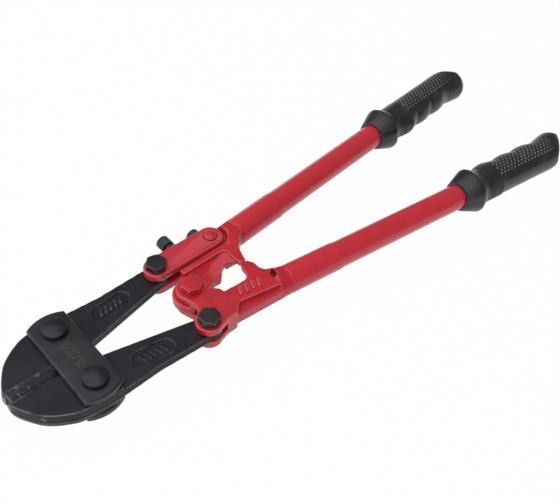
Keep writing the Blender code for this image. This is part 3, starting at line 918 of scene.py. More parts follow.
@dataclass
class Workshop:
    """Hands finished pieces over to the frame, with one material for each finish."""

    layout: Layout
    materials: dict[str, bpy.types.Material] = field(default_factory=dict)

    def paint(self, finish: Finish) -> bpy.types.Material:
        """Look up a finish's material and make it the first time.

        Args:
            finish: The finish.

        Returns:
            Its material.
        """
        if finish.name not in self.materials:
            self.materials[finish.name] = finish.material()
        return self.materials[finish.name]

    def hand_over(self, shape: Shape, name: str, body: str, finish: Finish,
                  nodes: Sequence[str] = (), crease: float = 180.0) -> bpy.types.Object:
        """Turn a shape into a finished piece of the tool.

        Args:
            shape: The shape, in millimetres about the centre pivot.
            name: Name of the piece.
            body: CAD body that it rides on.
            finish: Its finish.
            nodes: CAD nodes that it stands for.
            crease: Edges that turn by more than this, in degrees, stay sharp.

        Returns:
            The object.
        """
        piece = shape.transform(self.layout.placing).as_object(name)
        piece.data.shade_smooth()
        if crease < 180.0:
            piece.data.set_sharp_from_angle(angle=math.radians(crease))
        piece.data.materials.append(self.paint(finish))
        if nodes:
            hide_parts(*nodes)
        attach(piece, body)
        LOG.info("%s: %d faces on %s", name, len(piece.data.polygons), body)
        return piece


# Head


@dataclass
class Head:
    """The two bevelled jaws and the plates, bolts and nuts that hold them."""

    shop: Workshop
    steel: JawSteel
    plate_steel: PlateSteel
    bolt_steel: BlackenedSteel
    hub_half: float = 5.0
    arm_half: float = BLADE_HALF
    arm_step_x: float = -72.5
    nose_x: float = -127.0
    blade_rear_x: float = -95.2
    bevel_width: float = 4.4
    edge_land: float = 0.4
    crotch: Point = (-88.0, 1.3)
    arm_inner_y: float = 18.0
    tail_radius: float = 7.8
    parting_z: float = -1.2
    flash: float = 0.35
    draft: float = 0.09
    pocket: Point = (-44.7, 22.2)
    pocket_length: float = 27.0
    pocket_width: float = 10.8
    pocket_deep: float = 0.9
    pocket_slant: float = 6.5
    marks: int = 5
    mark_pitch: float = 3.6
    mark_length: float = 5.6
    mark_width: float = 1.7
    mark_lean: float = 62.0
    mark_high: dict[Side, float] = field(default_factory=lambda: {Side.UPPER: 0.9, Side.LOWER: 0.4})
    grain: float = 0.36
    passes: int = 3
    plate_thick: float = 5.0
    plate_front_x: float = -96.1
    plate_rear_x: float = -71.0
    plate_corner_y: float = 30.8
    plate_arch: float = 3.6
    head_radius: float = 7.7
    head_high: float = 4.0
    head_dome: float = 1.3
    shank: float = 5.0
    tail_shank: float = 4.0
    nut_flats: float = 15.0
    nut_high: float = 4.6

    def jaw_outline(self) -> Outline:
        """Draw the upper jaw.

        Returns:
            The outline, clockwise from its tip.
        """
        tail = self.shop.layout.tail_pivot
        nose = flowing([(self.nose_x, GAP / 2), (self.nose_x - 0.2, 3.2), (self.nose_x + 2.2, 10.0),
                        (self.nose_x + 8.6, 20.0), (self.nose_x + 14.2, 25.2),
                        (self.nose_x + 21.0, 29.4), (self.nose_x + 28.5, 32.4),
                        (-83.0, 34.1), (-70.0, 33.7), (-47.0, 32.6)])
        end = arc(tail, self.tail_radius, 112, -80, 24)
        return nose + end + [(tail[0] - 3.0, self.arm_inner_y), self.crotch,
                             (self.blade_rear_x, self.crotch[1]), (self.blade_rear_x, GAP / 2)]

    def bevel_wedge(self, side: Side, face: int) -> Shape:
        """Return what is ground away beside the cutting edge.

        Args:
            side: Which jaw.
            face: 1 for the top and -1 for the underside.

        Returns:
            A wedge along the blade.
        """
        reach = 3.0
        fall = (self.hub_half - self.edge_land) / self.bevel_width
        near = GAP / 2 - reach
        high = self.hub_half + fall * reach
        section = [(near, self.edge_land - fall * reach),
                   (GAP / 2 + self.bevel_width + reach, high), (near, high)]
        return Shape.swept(section, self.nose_x - 5.0, self.blade_rear_x + 0.5,
                           (BACK * side.value, UP * face, RIGHT))

    def drafted(self, jaw: Shape) -> Shape:
        """Give the sides of a jaw blank the parting line and draft of a forging.

        Args:
            jaw: The blank.

        Returns:
            The same shape.
        """
        parting = [self.parting_z + step for step in (-0.5, -0.2, 0.2, 0.5)]
        for height in parting:
            bmesh.ops.bisect_plane(jaw.mesh, geom=jaw.mesh.verts[:] + jaw.mesh.edges[:]
                                   + jaw.mesh.faces[:], plane_co=(0, 0, height), plane_no=(0, 0, 1))
        jaw.mesh.normal_update()
        moves = {}
        for vert in jaw.mesh.verts:
            if abs(vert.co.y) < self.crotch[1] + 0.4:
                continue
            outward = Vector((vert.normal.x, vert.normal.y, 0.0))
            if outward.length > 0.0:
                outward.normalize()
            away = abs(vert.co.z - self.parting_z)
            reach = -self.draft * away
            if away < 0.3:
                reach = self.flash
            moves[vert] = outward * reach
        for vert, move in moves.items():
            vert.co += move
            vert.co.x = max(vert.co.x, self.nose_x - 0.25)
        return jaw

    def build_jaw(self, side: Side) -> None:
        """Build and dress one jaw.

        Args:
            side: Which jaw.
        """
        layout = self.shop.layout
        jaw = Shape.slab(on_side(self.jaw_outline(), side), -self.hub_half, self.hub_half)
        jaw = self.drafted(jaw)
        rear = [(self.arm_step_x, -FAR), (FAR, -FAR), (FAR, FAR), (self.arm_step_x, FAR)]
        pocket = on_side(obround(self.pocket, self.pocket_length, self.pocket_width,
                                 self.pocket_slant), side)
        floor = self.arm_half - self.pocket_deep
        cutters = [Shape.slab(rear, self.arm_half, FAR), Shape.slab(rear, -FAR, -self.arm_half),
                   Shape.slab(pocket, floor, FAR), Shape.slab(pocket, -FAR, -floor),
                   self.bevel_wedge(side, 1), self.bevel_wedge(side, -1)]
        for spot, radius in ((layout.jaw_pivot, self.shank), (layout.tail_pivot, self.tail_shank)):
            cutters.append(Shape.rod(radius + GAP, -FAR, FAR, (spot[0], side.value * spot[1])))
        slant = math.radians(self.pocket_slant)
        bars = []
        for index in range(self.marks):
            step = (index - (self.marks - 1) / 2) * self.mark_pitch
            spot = (self.pocket[0] + step * math.cos(slant),
                    self.pocket[1] + step * math.sin(slant))
            bar = on_side(obround(spot, self.mark_length, self.mark_width,
                                  self.pocket_slant + self.mark_lean), side)
            bars.append(Shape.slab(bar, 0.0, floor + self.mark_high[side]))
        jaw = jaw.cut(*cutters).fused(*bars).forged(self.grain, self.passes)
        self.shop.hand_over(jaw, f"{side.label}_jaw_forging", f"{side.label}_jaw", self.steel,
                            [f"{side.label}_jaw"])

    def plate_outline(self) -> Outline:
        """Draw a head plate: straight long sides and arched ends.

        Returns:
            The outline.
        """
        half = (self.plate_rear_x - self.plate_front_x) / 2
        middle = (self.plate_rear_x + self.plate_front_x) / 2
        radius = (half ** 2 + self.plate_arch ** 2) / (2 * self.plate_arch)
        spread = math.degrees(math.asin(half / radius))
        top = arc((middle, self.plate_corner_y + self.plate_arch - radius), radius,
                  90 + spread, 90 - spread, 20)
        return top + [(x, -y) for x, y in reversed(top)]

    def build_plate(self, name: str, face: int) -> None:
        """Build and dress one head plate.

        Args:
            name: Node that it stands for.
            face: 1 for the plate on top and -1 for the one below.
        """
        near = self.hub_half + GAP
        low, high = sorted((face * near, face * (near + self.plate_thick)))
        plate = Shape.slab(self.plate_outline(), low, high)
        plate.soften(2.2, 5, 60.0, lambda edge: abs(edge.verts[0].co.z - edge.verts[1].co.z) > 1)
        plate.soften(1.2, 5, 60.0)
        self.shop.hand_over(plate, f"{name}_steel", "head", self.plate_steel, [name], 40.0)

    def build_bolts(self, side: Side) -> None:
        """Build and dress one pivot bolt and its nut.

        Args:
            side: Which jaw they hold.
        """
        spot = self.shop.layout.jaw_pivot
        move = Matrix.Translation((spot[0], side.value * spot[1], 0.0))
        seat = self.hub_half + 2 * GAP + self.plate_thick
        rim = self.head_radius - 0.8
        ball = (rim ** 2 + self.head_dome ** 2) / (2 * self.head_dome)
        spread = math.degrees(math.asin(rim / ball))
        crown = arc((0.0, seat + self.head_high - ball), ball, 90, 90 - spread, 10)
        dome = arc((rim, seat + self.head_high - self.head_dome - 0.8), 0.8, 74, 0, 6)
        foot = -self.shop.layout.centre.z / MM
        shank = [(self.head_radius, seat + 0.3), (self.head_radius - 0.3, seat), (self.shank, seat),
                 (self.shank, foot + 0.6), (self.shank - 0.6, foot), (0.0, foot)]
        bolt = Shape.turned(crown + dome + shank, 72).transform(move)
        self.shop.hand_over(bolt, f"{side.label}_pivot_bolt_steel", "head", self.bolt_steel,
                            [f"{side.label}_pivot_bolt"], 50.0)
        top = -seat
        nut = hexagon(self.nut_flats, top - self.nut_high, top, 0.4, both=True)
        nut = nut.cut(Shape.rod(self.shank + GAP, -THROUGH, THROUGH)).transform(move)
        self.shop.hand_over(nut, f"{side.label}_pivot_nut_steel", "head", self.bolt_steel,
                            [f"{side.label}_pivot_nut"], 30.0)

    def build(self) -> None:
        """Build every piece of the head."""
        for side in Side:
            self.build_jaw(side)
            self.build_bolts(side)
        self.build_plate("front_jaw_plate", 1)
        self.build_plate("rear_jaw_plate", -1)


# Linkage


@dataclass
class Linkage:
    """The adjusting link, its rivet, its screws and the three hexagon bolts."""

    shop: Workshop
    paint: SatinPaint
    bolt_steel: BlackenedSteel
    hexagon_steel: BlackenedSteel
    arm_half: float = BLADE_HALF
    link_cheek: float = 5.5
    fork_cheek: float = FORK_CHEEK
    link_radius: float = LINK_RADIUS
    web_front_x: float = 4.0
    web_thick: float = 3.8
    rivet_shank: float = 2.8
    rivet_head: float = 4.2
    rivet_high: float = 2.3
    ring_room: float = 0.7
    ring_deep: float = 0.6
    bolt_shank: float = 4.0
    bolt_flats: float = 12.6
    bolt_high: float = 4.5
    bolt_stand: float = 0.6
    bolt_grain: float = 0.3
    nut_grain: float = 0.25
    screw_shank: float = 2.9
    adjuster_x: float = ADJUSTER_X
    locking_x: float = 33.0
    knob_radius: float = 4.7
    knob_teeth: int = 26
    groove_radius: float = 0.42
    dish_radius: float = 3.1
    dish_deep: float = 0.4
    adjuster_knob_y: float = 42.4
    adjuster_knob_high: float = 7.6
    locking_knob_high: float = 6.4
    adjuster_tip_y: float = 24.0
    lock_nut_flats: float = 10.0
    lock_nut_high: float = 3.6

    @property
    def link_face(self) -> float:
        """Return how far the link's outer face stands from the mid-plane."""
        return self.arm_half + GAP + self.link_cheek

    def link_side(self, x: float) -> float:
        """Find the link's outer side.

        Args:
            x: Place along the tool.

        Returns:
            The y of the side there.
        """
        tail, rivet = self.shop.layout.tail_pivot, self.shop.layout.link_pivot
        share = (x - tail[0]) / (rivet[0] - tail[0])
        return tail[1] + (rivet[1] - tail[1]) * share + self.link_radius

    def build_link(self) -> None:
        """Build and dress the link: two cheeks and the web between them."""
        layout = self.shop.layout
        outline = (arc(layout.tail_pivot, self.link_radius, 91, 269, 30)
                   + arc(layout.link_pivot, self.link_radius, -89, 91, 30))
        inner = self.arm_half + GAP
        ring = Shape.rod(self.rivet_head + self.ring_room, self.link_face - self.ring_deep,
                         THROUGH, layout.link_pivot)
        link = Shape.slab(outline, inner, self.link_face).soften(0.9, 4).cut(ring)
        link.beside(Shape.slab(outline, -self.link_face, -inner).soften(0.9, 4))
        low = self.link_side(layout.link_pivot[0]) - self.web_thick
        shy = 0.3
        rear = layout.link_pivot[0]
        web = Shape.slab(
            [(self.web_front_x, low), (rear + 4.5, low), (rear + 3.2, low + self.web_thick - 1.2),
             (rear, self.link_side(rear) - shy),
             (self.web_front_x, self.link_side(self.web_front_x) - shy)],
            -inner - 1.2, inner + 1.2)
        holes = []
        for x in (self.adjuster_x, self.locking_x):
            hole = Shape.rod(self.screw_shank + GAP, 20.0, FAR, (0.0, 0.0), 32)
            holes.append(hole.transform(self.crosswise(x)))
        link.beside(web.cut(*holes))
        self.shop.hand_over(link, "adjusting_link_forging", "link", self.paint,
                            ["adjusting_link"], 40.0)

    def crosswise(self, x: float) -> Matrix:
        """Return the matrix that lays an upright piece along +Y at an x."""
        return Matrix.Translation((x, 0.0, 0.0)) @ Matrix.Rotation(-math.pi / 2, 4, "X")

    def build_rivet(self) -> None:
        """Build and dress the rivet, with a dome on each face."""
        spot = self.shop.layout.link_pivot
        seat = self.link_face + GAP
        dome = [(self.rivet_head * math.sin(angle), seat + self.rivet_high * math.cos(angle) ** 0.6)
                for angle in (math.radians(90.0 * step / 12) for step in range(13))]
        profile = dome + [(self.rivet_shank, seat), (self.rivet_shank, -seat)]
        profile += [(radius, -height) for radius, height in reversed(dome)]
        rivet = Shape.turned(profile, 56).transform(Matrix.Translation((*spot, 0.0)))
        self.shop.hand_over(rivet, "link_rivet_dome", "link", self.paint, ["link_rivet"], 50.0)

    def build_bolt(self, node: str, body: str, spot: Point, seat: float,
                   finish: Finish, turn: float) -> None:
        """Build and dress a hexagon bolt.

        Args:
            node: CAD node that it stands for.
            body: CAD body that it rides on.
            spot: Place of its axis.
            seat: Height of the face under its head.
            finish: Its finish.
            turn: Rotation of the head in radians.
        """
        low = seat + GAP
        bolt = hexagon(self.bolt_flats, low, low + self.bolt_high, turn)
        bolt = bolt.forged(self.bolt_grain, 3)
        end = -seat - self.bolt_stand
        bolt.beside(Shape.turned([(0.0, low + 0.5), (self.bolt_shank, low + 0.5),
                                  (self.bolt_shank, end + 0.5), (self.bolt_shank - 0.5, end),
                                  (0.0, end)], 40))
        bolt.transform(Matrix.Translation((*spot, 0.0)))
        self.shop.hand_over(bolt, f"{node}_hexagon", body, finish, [node], 30.0)

    def knurled(self, low: float, high: float, tip: float) -> Shape:
        """Return a screw with a knurled knob.

        Args:
            low: Underside of the knob.
            high: Top of the knob.
            tip: Far end of the shank.

        Returns:
            The screw, upright.
        """
        knob = Shape.rod(self.knob_radius, low, high, (0.0, 0.0), 2 * self.knob_teeth)
        knob.soften(0.5, 2, 60.0)
        reach = self.knob_radius * 1.01
        grooved = []
        for tooth in range(self.knob_teeth):
            angle = 2 * math.pi * tooth / self.knob_teeth
            spot = (reach * math.cos(angle), reach * math.sin(angle))
            grooved.append(Shape.rod(self.groove_radius, low - 1.0, high + 1.0, spot, 6))
        grooves = grooved[0].beside(*grooved[1:])
        dish = Shape.rod(self.dish_radius, high - self.dish_deep, high + 1.0)
        shank = Shape.turned([(0.0, low + 0.5), (self.screw_shank, low + 0.5),
                              (self.screw_shank, tip + 0.8), (self.screw_shank - 0.8, tip),
                              (0.0, tip)], 32)
        return knob.cut(grooves).cut(dish).beside(shank)

    def build_screws(self) -> None:
        """Build and dress the adjusting screw, its lock nut and the locking screw."""
        rivet_x = self.shop.layout.link_pivot[0]
        screw = self.knurled(self.adjuster_knob_y, self.adjuster_knob_y + self.adjuster_knob_high,
                             self.adjuster_tip_y)
        screw.transform(self.crosswise(self.adjuster_x))
        self.shop.hand_over(screw, "adjusting_screw_knurled", "adjusting_screw", self.bolt_steel,
                            ["adjusting_screw"], 35.0)
        low = self.link_side(self.adjuster_x + self.lock_nut_flats / 2) + GAP
        nut = hexagon(self.lock_nut_flats, low, low + self.lock_nut_high, 0.0, both=True)
        nut = nut.cut(Shape.rod(self.screw_shank + GAP, 0.0, FAR)).forged(self.nut_grain, 2)
        nut.transform(self.crosswise(self.adjuster_x))
        self.shop.hand_over(nut, "adjusting_lock_nut_steel", "link", self.bolt_steel,
                            ["adjusting_lock_nut"], 30.0)
        low = self.link_side(rivet_x) + GAP
        screw = self.knurled(low, low + self.locking_knob_high, low - self.web_thick)
        screw.transform(self.crosswise(self.locking_x))
        self.shop.hand_over(screw, "locking_screw_knurled", "locking_screw", self.bolt_steel,
                            ["locking_screw"], 35.0)

    def build(self) -> None:
        """Build every piece of the linkage."""
        tail = self.shop.layout.tail_pivot
        fork = self.arm_half + GAP + self.fork_cheek
        self.build_link()
        self.build_rivet()
        self.build_bolt("upper_tail_bolt", "link", tail, self.link_face, self.hexagon_steel, 0.3)
        self.build_bolt("lower_tail_bolt", "lower_handle", (tail[0], -tail[1]), fork,
                        self.hexagon_steel, 0.9)
        self.build_bolt("centre_bolt", "lower_handle", (0.0, 0.0), fork, self.paint, 0.2)
        self.build_screws()


# Handles


@dataclass(frozen=True)
class HandleAxis:
    """The line that a handle's tube and grip lie on."""

    side: Side
    datum: Point = (56.0, 26.5)
    slant: float = math.radians(6.3)

    @property
    def matrix(self) -> Matrix:
        """Lay an upright piece along the handle.

        Returns:
            The matrix, from the axis's datum.
        """
        sign = self.side.value
        return (Matrix.Translation((self.datum[0], sign * self.datum[1], 0.0))
                @ Matrix.Rotation(sign * self.slant, 4, "Z") @ Matrix.Rotation(math.pi / 2, 4, "Y"))

    def spot(self, along: float, across: float) -> Point:
        """Find a point of the mid-plane.

        Args:
            along: Its place along the handle, from the datum.
            across: Its distance from the axis, towards +Y.

        Returns:
            The point.
        """
        sign = self.side.value
        cosine, sine = math.cos(self.slant), math.sin(self.slant)
        return (self.datum[0] + along * cosine - sign * across * sine,
                sign * self.datum[1] + sign * along * sine + across * cosine)


@dataclass
class Castings:
    """The two forged castings that carry the handles."""

    shop: Workshop
    paint: SatinPaint
    swaged_radius: float = SWAGED_RADIUS
    tube_wall: float = TUBE_WALL
    spigot_length: float = 36.0
    tongue_half: float = BLADE_HALF
    ridge_half: float = 6.3
    seat_half: float = 9.0
    seat_room: float = 3.2
    shelf_floor: float = 4.6
    notch_floor: float = 3.2
    roof_floor: float = 5.0
    cheek: float = FORK_CHEEK
    tongue_radius: float = 12.0
    centre_ear: float = 9.8
    tail_ear: float = 8.8
    stop_y: float = -3.0
    adjuster_x: float = ADJUSTER_X
    link_radius: float = LINK_RADIUS
    centre_play: float = 3.4
    rivet_hole: float = 3.1
    bolt_hole: float = 4.3
    pad_below: float = 4.3
    eye_below: float = 3.8
    marks: int = 4
    mark_start: Point = (22.4, -20.1)
    mark_step: Point = (4.6, -0.6)
    mark_lean: float = 68.0
    grain: float = 0.45
    passes: int = 5

    def socket(self, side: Side) -> Shape:
        """Make the round end of a casting and the spigot inside the tube.

        Args:
            side: Which casting.

        Returns:
            The turned shape, in place.
        """
        spigot = self.swaged_radius - self.tube_wall - GAP
        radius = self.swaged_radius
        profile = [(0.0, self.spigot_length), (spigot - 1, self.spigot_length),
                   (spigot, self.spigot_length - 1), (spigot, -GAP), (radius, -GAP),
                   (radius, -8.2), (radius - 1.3, -9.5), (0.0, -9.5)]
        return Shape.turned(profile, 64).transform(HandleAxis(side).matrix)

    def tongue_outline(self) -> Outline:
        """Draw the upper casting's middle layer.

        Returns:
            The outline.
        """
        rivet = self.shop.layout.link_pivot
        screw, eye = self.adjuster_x, rivet[0]
        pad_y = rivet[1] - self.pad_below
        eye_y = rivet[1] + self.link_radius - self.eye_below - GAP
        disc = arc((0.0, 0.0), self.tongue_radius, -12, -262, 40)
        outer = [(4.5, 17.2), (screw - 5, 18.0), (screw - 4.5, pad_y), (screw + 4.5, pad_y),
                 (screw + 5.5, 19.0), (eye - 9.5, 20.0), (eye - 8.2, eye_y - 2),
                 (eye - 6.5, eye_y), (48.0, eye_y), (51.0, 18.0)]
        stop = self.stop_y + 2 * GAP
        inner = flowing([(48.2, 13.6), (45.0, 9.0), (42.8, 4.0), (41.6, stop)])
        window = flowing([(38.2, stop), (37.2, 1.4), (34.6, 4.0), (31.0, 4.8), (27.6, 3.4),
                          (24.6, 0.2), (22.6, -1.4), (16.5, -2.0)])
        return disc + outer + inner + window

    def climbing(self, ridge: Shape) -> Shape:
        """Let both faces of the ridge climb from its tip to the seat.

        Args:
            ridge: The flat ridge.

        Returns:
            The same shape.
        """
        front = 4.0
        run = self.shop.layout.link_pivot[0] - front
        climb = (self.seat_half - 0.2 - self.ridge_half) / run
        for vert in ridge.mesh.verts:
            rise = climb * min(run, max(0.0, vert.co.x - front))
            vert.co.z += math.copysign(rise, vert.co.z)
        return ridge

    def build_upper(self) -> None:
        """Build and dress the upper casting."""
        axis = HandleAxis(Side.UPPER)
        rivet = self.shop.layout.link_pivot
        stop = self.stop_y + GAP
        casting = Shape.slab(self.tongue_outline(), -self.tongue_half, self.tongue_half)
        ridge = rounded([(3.8, 17.4, 1.2), (3.8, 13.0, 1.2), (37.4, 12.9, 4.0), (36.4, 4.0, 3.0),
                         (37.2, stop, 0.4), (41.8, stop, 0.8), (43.0, 2.0, 3.0), (45.4, 8.6, 3.0),
                         (50.4, 13.0, 2.0), (49.4, 17.4, 0.0)])
        ridge = self.climbing(Shape.slab(ridge, -self.ridge_half, self.ridge_half))
        room = self.link_radius + self.seat_room
        top = axis.spot(-2 * GAP, self.swaged_radius - 4.4)
        bottom = axis.spot(-2 * GAP, 2.2 - self.swaged_radius)
        seat = arc(rivet, room, 17, -58, 24)
        seat += [(42.5, 15.5), (50.0, 13.6), bottom, top]
        ramp = Shape.swept([(14.0, 0.0), (14.0, self.ridge_half - 0.4), (12.2, 5.0), (10.6, 4.0),
                            (8.6, 3.3), (6.0, self.tongue_half - 0.2), (6.0, 0.0)], 7.0, 42.0,
                           (BACK, UP, RIGHT))
        web_top = self.ridge_half + 1.4
        web = Shape.swept([(14.0, 0.0), (14.0, 2.4), (22.0, 3.4), (30.0, 5.2), (37.0, web_top),
                           (42.4, web_top), (42.4, 0.0)], 0.6, 14.0, (RIGHT, UP, BACK))
        window = flowing([(37.0, -8.0), (37.0, -2.8), (36.2, 0.0), (34.0, 3.0), (31.0, 4.6),
                          (27.6, 3.4), (24.6, 0.2), (22.6, -1.4), (16.5, -2.0), (14.0, -8.0)])
        under = Shape.swept([(24.0, -THROUGH), (24.0, -self.tongue_half),
                             (37.5, self.roof_floor), (56.0, self.roof_floor),
                             (56.0, -THROUGH)], -8.0, 9.5, (RIGHT, UP, BACK))
        socket = self.socket(Side.UPPER).cut(
            Shape.rod(room, self.tongue_half, THROUGH, rivet),
            Shape.rod(room, -THROUGH, -self.tongue_half, rivet))
        casting = casting.fused(ridge, ramp, web,
                                Shape.slab(seat, -self.seat_half, self.seat_half), socket)
        casting = casting.cut(
            under, Shape.slab(window, -THROUGH, THROUGH),
            Shape.rod(self.bolt_hole - GAP + self.centre_play, -THROUGH, THROUGH),
            Shape.rod(self.rivet_hole, -THROUGH, THROUGH, rivet)).forged(self.grain, self.passes)
        self.shop.hand_over(casting, "upper_casting_forging", "upper_handle", self.paint,
                            ["upper_handle_casting"])

    def cheek_outline(self) -> Outline:
        """Draw the lower casting.

        Returns:
            The outline, clockwise from its centre ear.
        """
        axis = HandleAxis(Side.LOWER)
        tail = self.shop.layout.tail_pivot
        ear = arc((0.0, 0.0), self.centre_ear, 200, -35, 36)
        window = rounded([(10.2, -7.6, 0.0), (13.6, -11.2, 1.0), (14.4, -14.6, 1.0),
                          (34.4, -15.4, 5.4), (35.4, -6.4, 1.4), (37.2, self.stop_y, 0.4),
                          (42.0, self.stop_y, 0.8), (44.6, -7.2, 3.0), (44.8, -13.0, 4.0),
                          (46.8, -16.4, 2.0), (51.4, -18.0, 1.0), (52.0, -18.8, 0.0)])
        rear = [axis.spot(-2 * GAP, self.swaged_radius - 3.2), axis.spot(-2 * GAP, -4.6),
                axis.spot(-9.0, -5.4)]
        outer = [(46.6, -32.4), (45.4, -31.4), (16.6, -26.8), (15.8, -27.6), (10.8, -32.6),
                 (4.0, -32.8)]
        foot = arc((tail[0], -tail[1]), self.tail_ear, -60, -215, 32)
        return ear + window + rear + outer + foot + [(-7.6, -17.0), (-6.2, -13.0)]

    def build_lower(self) -> None:
        """Build and dress the lower casting."""
        axis = HandleAxis(Side.LOWER)
        tail = self.shop.layout.tail_pivot
        face = self.tongue_half + GAP + self.cheek
        layer = self.tongue_half + GAP
        casting = Shape.slab(self.cheek_outline(), -face, face)
        wall = [(12.0, -24.0), axis.spot(-1.0, 0.0), axis.spot(-1.0, 1.0 - self.swaged_radius),
                axis.spot(-9.0, 0.2 - self.swaged_radius), (10.8, -32.6)]
        flank = Shape.slab(wall, -self.shelf_floor, self.shelf_floor).soften(
            1.2, 3, 60.0, lambda edge: all(vert.co.y < -30.0 for vert in edge.verts))
        back = Shape.turned([(0.0, -4.0), (face, -4.0), (face, -6.5), (face - 1.5, -9.0),
                             (face - 4.5, -10.5), (0.0, -11.0)], 56)
        casting = casting.fused(flank, back.transform(axis.matrix), self.socket(Side.LOWER))
        room = [(3.0, -FAR), (3.0, -28.0), (8.0, -12.0), (9.0, FAR), (-FAR, FAR), (-FAR, -FAR)]
        notch = rounded([(49.4, -18.5, 0.8), (46.3, -21.4, 1.8), (45.9, -25.9, 1.3),
                         (49.4, -25.0, 1.8), (51.9, -19.2, 1.2)])
        casting = casting.cut(
            Shape.slab(room, -layer, layer),
            Shape.rod(self.tongue_radius + self.centre_play, -layer, layer),
            Shape.slab([(32.0, -15.8), (32.0, 3.0), (52.0, 3.0), (52.0, -9.0), (42.0, -15.8)],
                       -THROUGH, self.roof_floor),
            Shape.slab(notch, self.notch_floor, THROUGH),
            Shape.slab(notch, -THROUGH, -self.notch_floor),
            Shape.rod(self.bolt_hole, -THROUGH, THROUGH),
            Shape.rod(self.bolt_hole, -THROUGH, THROUGH, (tail[0], -tail[1])))
        spots = [(self.mark_start[0] + self.mark_step[0] * index,
                  self.mark_start[1] + self.mark_step[1] * index) for index in range(self.marks)]
        beds = [Shape.slab(obround(spot, 8.0, 3.2, self.mark_lean), face - 0.6, THROUGH)
                for spot in spots]
        casting = casting.cut(*beds).forged(self.grain, self.passes)
        for spot in spots:
            bar = Shape.slab(obround(spot, 6.6, 1.9, self.mark_lean), face - 1.2, face + 0.7)
            casting.beside(bar.soften(0.3, 3))
        self.shop.hand_over(casting, "lower_casting_forging", "lower_handle", self.paint,
                            ["lower_handle_casting"])

    def build(self) -> None:
        """Build both castings."""
        self.build_upper()
        self.build_lower()


